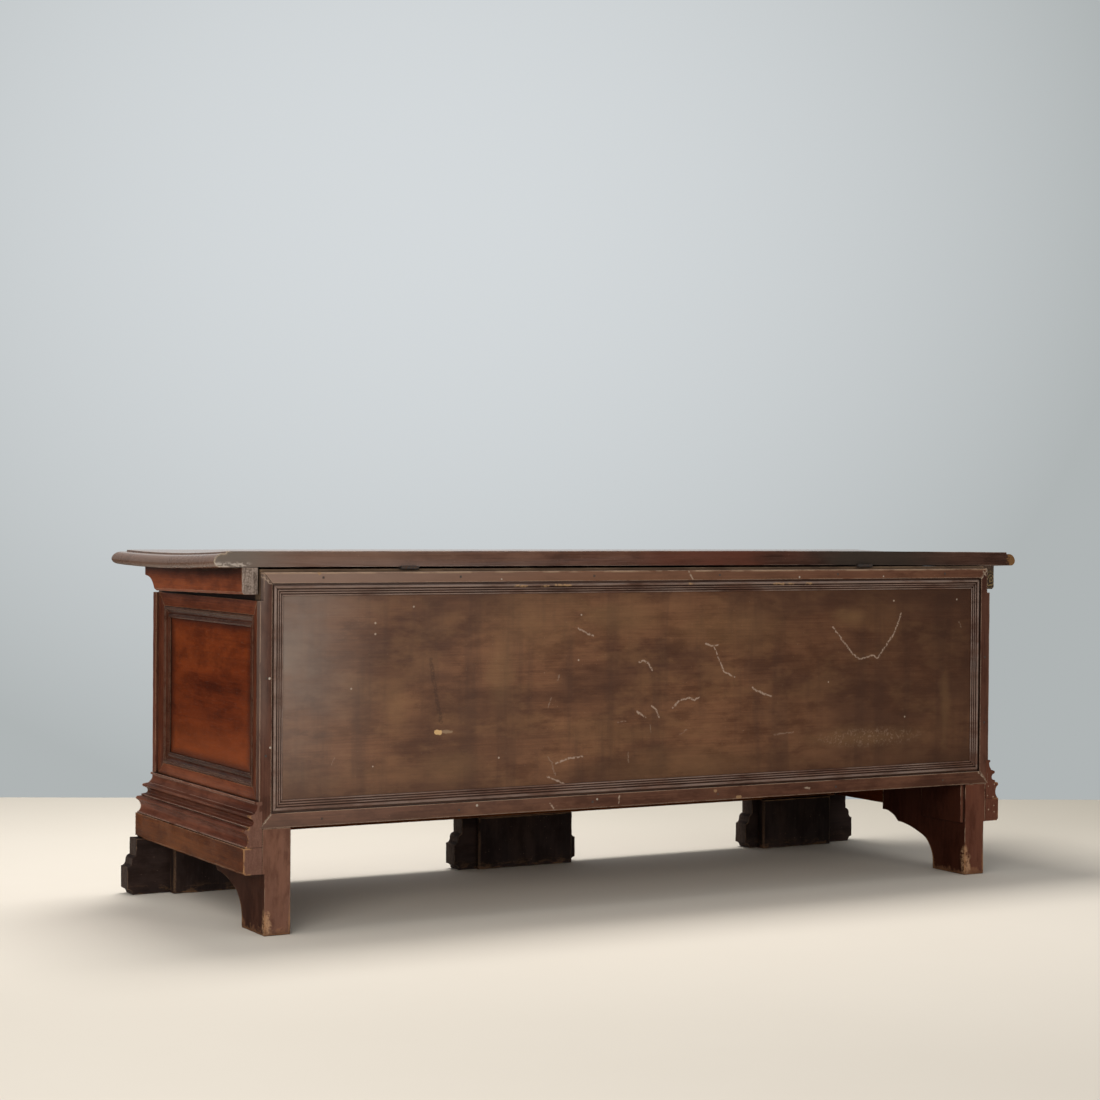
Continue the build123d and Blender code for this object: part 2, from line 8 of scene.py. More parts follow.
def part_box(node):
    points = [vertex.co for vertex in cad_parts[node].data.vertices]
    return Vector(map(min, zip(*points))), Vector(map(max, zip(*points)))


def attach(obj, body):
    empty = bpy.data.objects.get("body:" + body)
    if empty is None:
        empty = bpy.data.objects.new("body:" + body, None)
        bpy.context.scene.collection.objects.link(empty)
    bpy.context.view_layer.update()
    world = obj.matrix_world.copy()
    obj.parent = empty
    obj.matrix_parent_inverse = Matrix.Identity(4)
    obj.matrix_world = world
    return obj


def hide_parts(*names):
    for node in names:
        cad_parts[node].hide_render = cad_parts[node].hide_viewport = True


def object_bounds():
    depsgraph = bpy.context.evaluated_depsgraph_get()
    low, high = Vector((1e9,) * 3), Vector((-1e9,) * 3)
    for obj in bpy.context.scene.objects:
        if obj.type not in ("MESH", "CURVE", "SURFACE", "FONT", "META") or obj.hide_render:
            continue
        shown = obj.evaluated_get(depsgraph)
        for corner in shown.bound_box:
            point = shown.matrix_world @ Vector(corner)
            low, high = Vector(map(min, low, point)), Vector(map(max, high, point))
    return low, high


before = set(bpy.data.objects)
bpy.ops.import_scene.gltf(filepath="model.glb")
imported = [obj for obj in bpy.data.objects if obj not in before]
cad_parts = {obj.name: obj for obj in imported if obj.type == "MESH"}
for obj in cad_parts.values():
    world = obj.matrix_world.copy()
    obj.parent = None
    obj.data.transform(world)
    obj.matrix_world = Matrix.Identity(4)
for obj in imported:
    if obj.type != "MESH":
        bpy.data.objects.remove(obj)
cad_low, cad_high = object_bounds()
bpy.ops.object.select_all(action="DESELECT")


# ================================================================ floor and wall
# A pale studio floor that takes the chest's shadow, and a plain pale wall beyond its front and right end.
# The wall shines by itself, brightest above the chest. It takes no shadow, and lights the chest only from
# higher than the lid.
X, Y, Z = Vector((1, 0, 0)), Vector((0, 1, 0)), Vector((0, 0, 1))


class Wire:
    """One output of a node. Arithmetic on it adds Math nodes."""

    def __init__(self, finish, socket):
        self.finish, self.socket = finish, socket

    def math(self, operation, *others, clamp=False):
        return self.finish.node("ShaderNodeMath", {"operation": operation, "use_clamp": clamp}, self, *others)

    def __add__(self, other):
        return self.math("ADD", other)

    def __sub__(self, other):
        return self.math("SUBTRACT", other)

    def __mul__(self, other):
        return self.math("MULTIPLY", other)

    def __truediv__(self, other):
        return self.math("DIVIDE", other)

    def __rsub__(self, other):
        return self.finish.node("ShaderNodeMath", {"operation": "SUBTRACT"}, other, self)

    def __rtruediv__(self, other):
        return self.finish.node("ShaderNodeMath", {"operation": "DIVIDE"}, other, self)

    __radd__ = __add__
    __rmul__ = __mul__

    def __abs__(self):
        return self.math("ABSOLUTE")

    def clamp(self):
        return self.math("ADD", 0.0, clamp=True)

    def power(self, exponent):
        return self.math("POWER", exponent)

    def either(self, other):
        return self.math("MAXIMUM", other)

    def nearer(self, other):
        return self.math("MINIMUM", other)

    def ramp(self, low, high):
        """0 at low, 1 at high, smooth between. low may be the larger."""
        settings = {"interpolation_type": "SMOOTHSTEP", "clamp": True}
        stops = (low, high, 0.0, 1.0) if low < high else (high, low, 1.0, 0.0)
        return self.finish.node("ShaderNodeMapRange", settings, self, *stops)


class Finish:
    """A material under construction. The studio's world is made the same way."""

    def __init__(self, name, owner=None):
        self.material = owner or bpy.data.materials.new(name)
        self.material.use_nodes = True
        self.tree = self.material.node_tree
        self.tree.nodes.clear()
        self.place = self.node("ShaderNodeTexCoord", {}, out="Object")
        self.x, self.y, self.z = self.split(self.place)

    def node(self, kind, settings, *values, out=None, **named):
        made = self.tree.nodes.new(kind)
        for key, value in settings.items():
            setattr(made, key, value)
        plugs = [plug for plug in made.inputs if plug.enabled]
        pairs = list(zip(plugs, values))
        pairs += [(made.inputs[key.replace("_", " ")], value) for key, value in named.items()]
        for plug, value in pairs:
            if isinstance(value, Wire):
                self.tree.links.new(value.socket, plug)
            elif value is not None:
                plug.default_value = value
        shown = [plug for plug in made.outputs if plug.enabled]
        if not shown:
            return None
        return Wire(self, made.outputs[out] if out else shown[0])

    def split(self, vector):
        """The three parts of a vector."""
        first = self.node("ShaderNodeSeparateXYZ", {}, vector)
        return [Wire(self, plug) for plug in first.socket.node.outputs]

    def facing(self, axis):
        """How far the surface looks along an axis, from -1 to 1."""
        return self.split(self.node("ShaderNodeTexCoord", {}, out="Normal"))[axis]

    def vector(self, operation, *values, **named):
        return self.node("ShaderNodeVectorMath", {"operation": operation}, *values, **named)

    def number(self, operation, *values):
        """A number worked out from vectors, such as their distance."""
        return self.vector(operation, *values, out="Value")

    def mix(self, amount, base, other, blend="MIX"):
        colours = [c if isinstance(c, Wire) else (*c, 1.0) for c in (base, other)]
        return self.node("ShaderNodeMix", {"data_type": "RGBA", "blend_type": blend}, amount, *colours)

    def lay(self, amount, colour, blend="MIX"):
        """Lays a colour over what is there, in full where amount is 1."""
        self.colour = self.mix(amount, self.colour, colour, blend)

    def noise(self, scale, shift=(0.0, 0.0, 0.0), detail=4.0, roughness=0.55, distortion=0.0):
        """Clouds of one scale, or stretched, with a scale for each axis."""
        place = self.place
        if isinstance(scale, tuple):
            place, scale = self.node("ShaderNodeMapping", {}, place, Location=shift, Scale=scale), 1.0
        looks = {"Scale": scale, "Detail": detail, "Roughness": roughness, "Distortion": distortion}
        return self.node("ShaderNodeTexNoise", {}, place, **looks)

    def surface(self, colour, roughness, height=None, depth=0.0, coat=0.0, specular=0.5, metallic=0.0):
        normal = None
        if height is not None:
            normal = self.node("ShaderNodeBump", {}, Strength=1.0, Distance=depth, Height=height)
        shader = self.node(
            "ShaderNodeBsdfPrincipled", {}, Base_Color=colour, Roughness=roughness, Normal=normal,
            Metallic=metallic, Specular_IOR_Level=specular, Coat_Weight=coat, Coat_Roughness=0.22,
        )
        self.node("ShaderNodeOutputMaterial", {}, shader)
        return self.material


def studio_plane(name, size):
    bpy.ops.mesh.primitive_plane_add(size=size)
    plane = bpy.context.object
    plane.name = name
    return plane


floor = studio_plane("floor", 16)
ground = Finish("pale_floor")
patchy = ground.noise(1.3)
ground.colour = ground.mix(patchy, (0.74, 0.665, 0.56), (0.79, 0.715, 0.61))
# Painted shade on the floor: darker towards the far right, the near left and the far left, where the lamps'
# light falls off.
ground.lay((ground.y * 0.8 + ground.x).ramp(0.2, -2.6) * 0.6, (0.52, 0.47, 0.37))
ground.lay((ground.x + ground.y).ramp(0.2, 2.0) * 0.17, (0.1, 0.09, 0.07))
ground.lay(ground.x.ramp(0.9, 1.9) * 0.08, (0.1, 0.09, 0.07))
floor.data.materials.append(ground.surface(ground.colour, 0.8, specular=0.1))

wall_left, wall_right = Vector((0.5925, -1.7311, 0)), Vector((-1.7687, -0.5315, 0))
wall_length, wall_height = 14, 4.8
wall_line = (wall_right - wall_left).normalized()
wall = studio_plane("wall", 1)
wall.matrix_world = Matrix((wall_line, Z, wall_line.cross(Z))).transposed().to_4x4()
wall.location = (wall_left + wall_right) / 2 + Z * (wall_height / 2)
wall.scale = (wall_length, wall_height, 1)
plaster = Finish("pale_wall")
off_glow_x, off_glow_y = (plaster.x + 0.025) * 8.0, (plaster.y + 0.2) * 3.2
glow = (1.0 - off_glow_x.power(2.0) - off_glow_y.power(2.0)).clamp()
wall_colour = plaster.mix(glow, (0.43, 0.46, 0.463), (0.66, 0.695, 0.715))
in_view = plaster.node("ShaderNodeLightPath", {}, out="Is Camera Ray")
above_lid = plaster.y.ramp(-0.405, -0.375) * 0.95 + 0.05
shining = plaster.mix(in_view.either(above_lid), (0.0, 0.0, 0.0), wall_colour)
shine = plaster.node("ShaderNodeEmission", {}, shining, 1.0)
clear = plaster.node("ShaderNodeBsdfTransparent", {})
behind = plaster.node("ShaderNodeNewGeometry", {}, out="Backfacing")
one_sided = plaster.node("ShaderNodeMixShader", {}, behind, shine, clear)
plaster.node("ShaderNodeOutputMaterial", {}, one_sided)
wall.data.materials.append(plaster.material)
wall.visible_diffuse = False
wall.visible_shadow = False

# ================================================================ light and camera
# A wide soft lamp overhead, another high on the left, a broad fill beyond the left rear corner and a
# reflector card behind the right end. A long lens stands at table height behind the chest, to its left.
world = bpy.data.worlds.new("studio")
sky = Finish("studio", world)
mirrored = sky.node("ShaderNodeLightPath", {}, out="Is Glossy Ray")
daylight = sky.node("ShaderNodeBackground", {}, (0.93, 0.96, 1.0, 1), 0.4 - mirrored * 0.27)
sky.node("ShaderNodeOutputWorld", {}, daylight)
bpy.context.scene.world = world
bpy.context.scene.view_settings.view_transform = "Standard"


def softbox(name, place, target, size, power):
    lamp = bpy.data.lights.new(name, "AREA")
    lamp.shape, lamp.size, lamp.size_y = "RECTANGLE", size[0], size[1]
    lamp.energy = power
    holder = bpy.data.objects.new(name, lamp)
    bpy.context.collection.objects.link(holder)
    holder.location = place
    holder.rotation_euler = (Vector(target) - Vector(place)).to_track_quat("-Z", "Y").to_euler()


softbox("softbox_above", (0.1, -0.6, 2.8), (0.0, -0.1, 0.3), (1.3, 0.9), 65)
softbox("softbox_left", (2.4, 0.2, 2.3), (0.7, 0.0, 0.3), (1.1, 1.1), 16)
softbox("softbox_fill", (2.6, 2.5, 1.15), (0.4, 0.2, 0.3), (1.6, 1.3), 44)
softbox("reflector_card", (-1.1, 3.7, 1.0), (0.7, 0.25, 0.4), (0.9, 1.4), 22)

eye = Vector((2.17536, 3.72443, 0.6756))
yaw, pitch, roll = radians(-29.45681), radians(0.79773), radians(0.43512)
forward = Vector((sin(yaw) * cos(pitch), -cos(yaw) * cos(pitch), -sin(pitch)))
level_right = forward.cross(Z).normalized()
level_up = level_right.cross(forward)
camera_right = level_right * cos(roll) + level_up * sin(roll)
camera_up = level_up * cos(roll) - level_right * sin(roll)
camera = bpy.data.objects.new("camera", bpy.data.cameras.new("camera"))
bpy.context.collection.objects.link(camera)
camera.data.sensor_width = 36
camera.data.lens = 76.14
camera.matrix_world = Matrix((camera_right, camera_up, -forward)).transposed().to_4x4()
camera.location = eye
bpy.context.scene.camera = camera


# ================================================================ boards of the case
# The case is a box of four wide walnut boards and three bottom planks, bare wood inside. The end boards
# show inside their frames, stained dark and red, darkened in the corners with dirt and painted shade.
LEFT, RIGHT = 1, -1
SIDES = ((LEFT, "left"), (RIGHT, "right"))
MM = 0.001
# The near black of dirt in the pores, and of painted shade in the hollows.
DIRT_AND_SHADE = (0.01, 0.007, 0.005)


class Walnut(Finish):
    """Stained walnut: fibres, pores and slow bands along the grain, stains, dirt and painted shade in the
    hollows, and rubbed arrises.
    """

    def __init__(
        self, name, grain, dark, light, patch, bands=0.5, patches=0.4, pores=0.3, shift=0.0, reach=0.02
    ):
        super().__init__(name)
        self.main, self.shift = "XYZ".index(grain), shift
        self.fibre = self.along(9.0, 420.0, roughness=0.7)
        band = self.along(1.1, 17.0, roughness=0.6, distortion=0.9)
        pore = self.along(38.0, 1500.0, detail=2, roughness=0.5).ramp(0.6, 0.72)
        self.stain = self.along(3.2, 8.0, roughness=0.6)
        self.fine = self.noise(70.0, roughness=0.65)
        self.colour = self.mix((band * bands + self.fibre * (1 - bands)).ramp(0.32, 0.68), dark, light)
        self.lay(self.stain.ramp(0.45, 0.68) * patches, patch)
        smudge = self.along(14.0, 34.0, detail=5, roughness=0.66)
        self.lay(smudge.ramp(0.56, 0.36) * 0.55, (0.4, 0.33, 0.3), blend="MULTIPLY")
        self.lay(smudge.ramp(0.56, 0.74) * 0.35, patch)
        self.lay(pore * pores, DIRT_AND_SHADE)
        self.height = self.fibre * 0.5 + self.fine * 0.35 - pore * 0.5
        self.open = self.node("ShaderNodeAmbientOcclusion", {"samples": 6}, Distance=reach, out="AO")
        nick = self.noise(300.0, detail=1).ramp(0.745, 0.79)
        self.lay(nick * 0.45, (0.3, 0.2, 0.13))
        self.bare = 0.0

    def along(self, long_scale, cross_scale, **looks):
        """Clouds drawn out along the grain."""
        scale = [cross_scale] * 3
        scale[self.main] = long_scale
        return self.noise(tuple(scale), (self.shift, self.shift * 0.7, self.shift * 1.3), **looks)

    def dirt_and_shade(self, amount):
        """Darkens corners, hollows and what lies under an overhang: dirt and old wax, and painted shade where
        shade falls.
        """
        hollow = self.open.ramp(0.78, 0.36) * (0.6 + self.stain * 0.7) * amount
        self.lay(hollow.clamp(), DIRT_AND_SHADE)

    def wear(self, amount, tint, radius=3.5, where=1.0):
        """Arrises rubbed back in patches to lighter wood."""
        rounded = self.node("ShaderNodeBevel", {"samples": 4}, Radius=radius * MM, out="Normal")
        flat = self.node("ShaderNodeNewGeometry", {}, out="Normal")
        turned = 1.0 - self.number("DOT_PRODUCT", rounded, flat)
        arris = turned.ramp(0.015, 0.1) * self.open.ramp(0.45, 0.8) * where
        patchy = self.along(18.0, 60.0, roughness=0.75)
        self.bare = (arris * patchy.ramp(0.6 - 0.25 * amount, 0.68 - 0.15 * amount)).clamp()
        self.lay(self.bare, tint)

    def ridges(self, amount, tint):
        """The ridges of fine reeds rubbed pale, where nothing stands beside them."""
        patchy = self.along(9.0, 40.0, roughness=0.7).ramp(0.3, 0.62)
        self.lay(self.open.ramp(0.86, 0.99) * patchy * amount, tint)

    def shaded_right_end(self, tint=(0.78, 0.58, 0.5)):
        """Painted shade: the right end of the chest is painted darker and redder, as the light falls off
        towards it.
        """
        self.lay(self.x.ramp(0.1, -0.1), tint, blend="MULTIPLY")

    def painted_sheen(self, strength):
        """A painted grey sheen towards the left end of the back: the reflection of the light there, put into
        the colour.
        """
        cloudy = self.noise((3, 3, 7), roughness=0.6)
        greyed = self.x.ramp(-0.1, 0.72).power(1.6) * (0.3 + cloudy * 1.1) * strength
        self.lay(greyed.clamp(), (0.23, 0.155, 0.12))

    def end_grain(self, dark, light):
        """Open pores and specks where the board is sawn across."""
        sawn = abs(self.facing(self.main)).ramp(0.8, 0.95)
        speck = self.noise(420.0, detail=3, roughness=0.7)
        rays = self.noise((240, 240, 60), detail=3, roughness=0.65)
        tone = (speck * 0.5 + rays * 0.5).ramp(0.36, 0.66)
        self.lay(sawn, self.mix(tone, dark, light))
        self.height = self.height + sawn * speck * 1.5

    def done(self, roughness, coat=0.0, specular=0.2):
        rough = (roughness + (self.stain - 0.5) * 0.2 + (self.fibre - 0.5) * 0.14 + self.bare * 0.15).clamp()
        height = self.height - self.bare * 0.6
        return self.surface(self.colour, rough, height, 0.00022, coat, specular)


def dress_node(name, material):
    """Gives a CAD piece its finish."""
    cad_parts[name].data.materials.clear()
    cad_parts[name].data.materials.append(material)


RAW_DARK, RAW_LIGHT = (0.1, 0.058, 0.033), (0.2, 0.125, 0.075)

inside = Walnut("walnut_inside", "X", RAW_DARK, RAW_LIGHT, (0.24, 0.15, 0.085))
inside.dirt_and_shade(0.6)
inside.wear(0.3, (0.3, 0.2, 0.12))
inside_finish = inside.done(0.7)
for name in ("bottom_plank_front", "bottom_plank_middle", "bottom_plank_rear", "back_board"):
    dress_node(name, inside_finish)

end_panel = Walnut(
    "walnut_end_panels", "Y", (0.074, 0.013, 0.003), (0.175, 0.032, 0.006), (0.22, 0.045, 0.008), bands=0.6,
    patches=0.45, pores=0.1, reach=0.03,
)
field_low, field_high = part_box("end_panel_moulding_left")
field_centre = (field_low + field_high) / 2
field_half = (field_high - field_low) / 2 - Vector((0, 0.02, 0.02))
off_y = abs(end_panel.y - field_centre.y) / field_half.y
off_z = abs(end_panel.z - field_centre.z) / field_half.z
end_panel.lay(off_z.ramp(0.75, 0.15) * 0.5, (0.82, 0.7, 0.7), blend="MULTIPLY")
end_panel.lay(end_panel.z.ramp(0.34, 0.26) * 0.45, (0.26, 0.055, 0.01))
field_edge = (off_y.ramp(0.84, 1.02).either(off_z.ramp(0.86, 1.02)) * (0.4 + end_panel.stain * 0.9)).clamp()
end_panel.lay(field_edge * 0.85, (0.022, 0.006, 0.004))

board_top, front_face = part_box("side_board_left")[1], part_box("front_board")[0].y
# Only the outer face, the front edge and the top edge are stained.
unstained = abs(end_panel.x).ramp(board_top.x - 0.001, board_top.x - 0.002)
unstained *= end_panel.y.ramp(front_face + 0.001, front_face + 0.002)
unstained *= end_panel.z.ramp(board_top.z - 0.002, board_top.z - 0.006)
end_panel.lay(unstained, end_panel.mix(end_panel.stain.ramp(0.35, 0.65), RAW_DARK, RAW_LIGHT))
end_panel.dirt_and_shade(1.0)
end_panel_finish = end_panel.done(0.33, specular=0.04)
for side, label in SIDES:
    dress_node(f"side_board_{label}", end_panel_finish)


# ================================================================ back frame
# Four walnut strips, 14 mm thick, mitred round the back panel and nailed to the back board. The top
# corners are notched where the lid's battens come down. Their arrises are knocked and rubbed.
def only(piece):
    """Makes one piece the active and the only selected one."""
    bpy.ops.object.select_all(action="DESELECT")
    piece.select_set(True)
    bpy.context.view_layer.objects.active = piece


def apply_modifier(piece, kind, **settings):
    only(piece)
    made = piece.modifiers.new(kind.lower(), kind)
    for key, value in settings.items():
        setattr(made, key, value)
    bpy.ops.object.modifier_apply(modifier=made.name)


def draw_section(name, points):
    """A face with the given corners, drawn by extruding one vertex from corner to corner."""
    bpy.ops.object.select_all(action="DESELECT")
    bpy.ops.mesh.primitive_plane_add(size=1, location=(0, 0, 0))
    piece = bpy.context.object
    piece.name = piece.data.name = name
    bpy.ops.object.mode_set(mode="EDIT")
    bpy.ops.mesh.select_all(action="SELECT")
    bpy.ops.mesh.merge(type="CENTER")
    bpy.ops.transform.translate(value=points[0])
    for here, there in zip(points, points[1:]):
        bpy.ops.mesh.extrude_region_move(TRANSFORM_OT_translate={"value": there - here})
    bpy.ops.mesh.select_all(action="SELECT")
    bpy.ops.mesh.edge_face_add()
    return piece


def solid(name, points, direction, length, steps):
    """Draws a section and pulls it into a solid, which stays in edit mode."""
    piece = draw_section(name, points)
    bpy.ops.mesh.select_all(action="SELECT")
    bpy.ops.mesh.extrude_repeat(steps=steps, offset=direction * (length / steps), scale_offset=1)
    return piece


def saw(point, normal):
    """Cuts off, in edit mode, what lies beyond a plane, and closes the cut."""
    bpy.ops.mesh.select_all(action="SELECT")
    bpy.ops.mesh.bisect(plane_co=point, plane_no=normal, clear_outer=True)
    bpy.ops.mesh.edge_face_add()


def line_round(point, normal):
    """A line round a piece, in edit mode, where a plane crosses it."""
    bpy.ops.mesh.select_all(action="SELECT")
    bpy.ops.mesh.bisect(plane_co=point, plane_no=normal)


def score(start, direction, length, step):
    """Even lines round a piece, in edit mode, so that its planed faces can wander."""
    for number in range(1, round(length / step)):
        line_round(start + direction * (number * step), direction)


def finish_mesh(piece, ease, wobble=0.0, wobble_size=0.03):
    """Eases the arrises, lets the planed faces wander inwards a little and shades the piece."""
    bpy.ops.mesh.select_all(action="SELECT")
    bpy.ops.mesh.remove_doubles(threshold=0.00002)
    bpy.ops.mesh.normals_make_consistent(inside=False)
    bpy.ops.object.mode_set(mode="OBJECT")
    if ease:
        arrises = {"limit_method": "ANGLE", "angle_limit": radians(35)}
        apply_modifier(piece, "BEVEL", width=ease, segments=2, profile=0.6, **arrises)
    if wobble:
        cloud = bpy.data.textures.new(piece.name + "_plane_marks", "CLOUDS")
        cloud.noise_scale, cloud.noise_depth = wobble_size, 1
        inwards = {"strength": wobble, "mid_level": 1.0}
        apply_modifier(piece, "DISPLACE", texture=cloud, texture_coords="LOCAL", **inwards)
    only(piece)
    bpy.ops.object.shade_smooth_by_angle(angle=radians(32))
    return piece


def timber(
    name, outline, corner, across, out, along, length, cuts=(), step=0.012, ease=0.0007, wobble=0.0004
):
    """A strip: its section is drawn at corner in the axes across and out, and pulled along."""
    points = [corner + across * a + out * b for a, b in outline]
    piece = solid(name, points, along, length, max(2, round(length / step)))
    for point, normal in cuts:
        saw(point, normal)
    return finish_mesh(piece, ease, wobble)


def rectangle(width, height):
    return ((0, 0), (width, 0), (width, height), (0, height))


def mitre(corner, inner, thickness, centre):
    """The plane of a mitre: it holds the outer corner, the inner corner and the strip's thickness."""
    normal = (inner - corner).cross(thickness).normalized()
    return corner, normal if normal.dot(centre - corner) < 0 else -normal


def dress(piece, material, slot, *nodes, body="case"):
    """Gives a new piece its finish, and says which CAD pieces it stands for."""
    piece.data.materials.clear()
    piece.data.materials.append(material)
    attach(piece, body)
    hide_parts(*nodes)


def on_back(finish):
    """The place on the back, seen square on, in millimetres."""
    return finish.vector("MULTIPLY", finish.place, (1000, 0, 1000))


def spots(finish, marks, ragged, edge, amount, tint):
    """Small ragged marks on the back, each at an X and a Z in millimetres."""
    place = on_back(finish)
    distance = reduce(Wire.nearer, [finish.number("DISTANCE", place, (x, 0, z)) for x, z in marks])
    finish.lay((distance + (finish.fine - 0.5) * ragged).ramp(*edge) * amount, tint)


def stroke(finish, points, place):
    """The distance, in millimetres, to a line of strokes from point to point."""
    distances = []
    for (ax, az), (bx, bz) in zip(points, points[1:]):
        run = (bx - ax, 0, bz - az)
        off = finish.vector("SUBTRACT", place, (ax, 0, az))
        share = finish.number("DOT_PRODUCT", off, run) * (1 / (run[0] ** 2 + run[2] ** 2))
        distances.append(finish.number("DISTANCE", off, finish.vector("SCALE", run, Scale=share.clamp())))
    return reduce(Wire.nearer, distances)


def scratches(finish, lines, width, strength, tint):
    """Scratches through the stain, broken up along their way."""
    jitter = finish.node("ShaderNodeTexNoise", {}, finish.place, Scale=160.0, Detail=1.0, out="Color")
    stray = finish.vector("MULTIPLY", finish.vector("SUBTRACT", jitter, (0.5, 0.5, 0.5)), (5, 0, 5))
    place = finish.vector("ADD", on_back(finish), stray)
    distance = reduce(Wire.nearer, [stroke(finish, line, place) for line in lines])
    broken = finish.noise(240.0, detail=2).ramp(0.34, 0.52)
    finish.lay((distance.ramp(width, width * 0.35) * broken * strength).clamp(), tint)


FILLED_NAILS = ((733, 414), (731, 303), (312, 571), (-304, 571), (-495, 571), (356, 190), (121, 188))
CHIPS = ((647, 583), (651, 203), (-125, 190), (-172, 176), (-178, 176), (-741, 152), (-744, 140), (-743, 117))
STRIP_SCRATCHES = (
    ((-63, 583), (-74, 567)), ((77, 191), (77, 179)), ((745, 578), (732, 567)), ((729, 195), (744, 179)),
    ((-726, 196), (-745, 177)), ((214, 186), (206, 174)), ((-318, 186), (-331, 184)),
    ((-729, 566), (-747, 585)), ((-739, 571), (-733, 580)), ((-741, 585), (-747, 566)),
)
CHALKY_EDGE = (0.5805, 0.583)


def back_strip_finish(name, grain, dark, light, patch):
    finish = Walnut(name, grain, dark, light, patch, patches=0.5, shift=2.0)
    if grain == "X":
        upper = finish.z.ramp(0.3, 0.5)
        # The top rail is painted lighter towards its left end and given the painted grey sheen: painted light
        # where the light is stronger.
        finish.lay(upper * finish.x.ramp(-0.65, 0.0) * 0.45, (0.2, 0.098, 0.054))
        finish.painted_sheen(upper * 0.6 + 0.3)
    else:
        # A painted grey sheen on the upper half of the left stile, near its outer arris, where it catches the
        # light.
        painted_sheen_left_stile = finish.x.ramp(0.728, 0.744) * finish.z.ramp(0.25, 0.5)
        finish.lay(painted_sheen_left_stile * finish.stain.ramp(0.2, 0.6) * 0.6, (0.2, 0.155, 0.13))
    finish.dirt_and_shade(0.9)
    finish.wear(1.05, (0.31, 0.21, 0.145), radius=3.2)
    chalky = finish.z.ramp(*CHALKY_EDGE) * finish.along(22.0, 60.0).ramp(0.38, 0.6)
    finish.lay(chalky * 0.75, (0.34, 0.23, 0.15))
    spots(finish, FILLED_NAILS, 5.0, (2.2, 1.4), 0.8, (0.42, 0.36, 0.29))
    scratches(finish, STRIP_SCRATCHES, 1.9, 0.8, (0.34, 0.25, 0.18))
    spots(finish, CHIPS, 10.0, (3.6, 2.4), 0.75, (0.3, 0.18, 0.09))
    return finish.done(0.42, specular=0.09)


back_rail_finish = back_strip_finish(
    "walnut_back_rails", "X", (0.06, 0.023, 0.013), (0.132, 0.055, 0.031), (0.165, 0.074, 0.04)
)
back_stile_finish = back_strip_finish(
    "walnut_back_stiles", "Z", (0.05, 0.018, 0.011), (0.108, 0.044, 0.027), (0.14, 0.06, 0.037)
)
panel_low, panel_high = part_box("back_panel")
rail_low, rail_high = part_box("back_rail_bottom")
top_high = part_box("back_rail_top")[1]
notch_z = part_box("end_rail_top_left")[1].z
frame_thick = rail_high.y - rail_low.y
overrun = 0.002


def back_corner(side, low):
    """The outer and the inner corner of the back frame's mitre."""
    outer, inner = (rail_high.x, rail_low.z), (panel_high.x, panel_low.z)
    if not low:
        outer, inner = (top_high.x, top_high.z), (panel_high.x, panel_high.z)
    return Vector((side * outer[0], rail_low.y, outer[1])), Vector((side * inner[0], rail_low.y, inner[1]))


for name, low in (("back_rail_bottom", True), ("back_rail_top", False)):
    start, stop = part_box(name)
    middle = Vector((0, 0, (start.z + stop.z) / 2))
    cuts = [mitre(*back_corner(side, low), Y, middle) for side, label in SIDES]
    length, section = stop.x - start.x + 2 * overrun, rectangle(stop.z - start.z, frame_thick)
    start -= X * overrun
    rail = timber(f"{name}_walnut", section, start, Z, Y, X, length, cuts, step=0.008, ease=0.0009)
    dress(rail, back_rail_finish, "back_frame", name)

for side, label in SIDES:
    low_outer, low_inner = back_corner(side, True)
    top_outer, top_inner = back_corner(side, False)
    notch = [Vector((side * x, rail_low.y, notch_z)) for x in (rail_high.x, top_high.x)]
    outline = [low_inner, low_outer, *notch, top_outer, top_inner]
    stile = solid(f"back_stile_{label}_walnut", outline, Y, frame_thick, 2)
    score(low_outer, Z, top_high.z - rail_low.z, 0.008)
    finish_mesh(stile, 0.0009, 0.0006)
    dress(stile, back_stile_finish, "back_frame", f"back_stile_{label}")

# ================================================================ nails of the back frame
# Cut iron nails, square and rusty, driven flush through the strips into the back board.
iron = Finish("old_iron")
rust = iron.noise(260.0, detail=5, roughness=0.7)
iron_colour = iron.mix(rust.ramp(0.45, 0.65), (0.055, 0.05, 0.047), (0.11, 0.055, 0.03))
iron_finish = iron.surface(iron_colour, 0.5 + rust * 0.25, rust, 0.0002, metallic=0.6)
dress_node("frame_nails", iron_finish)

# ================================================================ back panel
# A thin wide walnut panel inside the frame, mottled, with ochre patches where the stain is gone, a painted
# grey sheen at its left end where the light reflects, painted shade towards its right end, and many pale
# scratches and specks.
panel = Walnut(
    "walnut_back_panel", "X", (0.1, 0.04, 0.019), (0.196, 0.088, 0.042), (0.228, 0.108, 0.052), bands=0.6,
    patches=0.6,
)
PANEL_MIDDLE_Z = 0.3818
cloud = panel.noise((3.2, 3.2, 7.0), roughness=0.6)
mottle = panel.noise((9.0, 9.0, 22.0), (4, 0, 1), detail=5, roughness=0.62)
brushed = panel.noise((26.0, 1.0, 2.6), (9, 0, 0), roughness=0.6)
edge_z = abs(panel.z - PANEL_MIDDLE_Z).ramp(0.1, 0.18)
painted_shade_right = panel.x.ramp(0.1, -0.75)
panel.lay(cloud.ramp(0.6, 0.38) * 0.6, (0.05, 0.021, 0.013))
panel.lay(mottle.ramp(0.47, 0.66) * 0.45, (0.2, 0.1, 0.045))
panel.lay(brushed.ramp(0.46, 0.7) * 0.4, (0.05, 0.024, 0.016))
# Darker towards the top and bottom edges, and painted shade that deepens towards the right end, where the
# light falls off.
panel.lay((edge_z * 0.3 + painted_shade_right * 0.55).clamp(), (0.042, 0.018, 0.01))


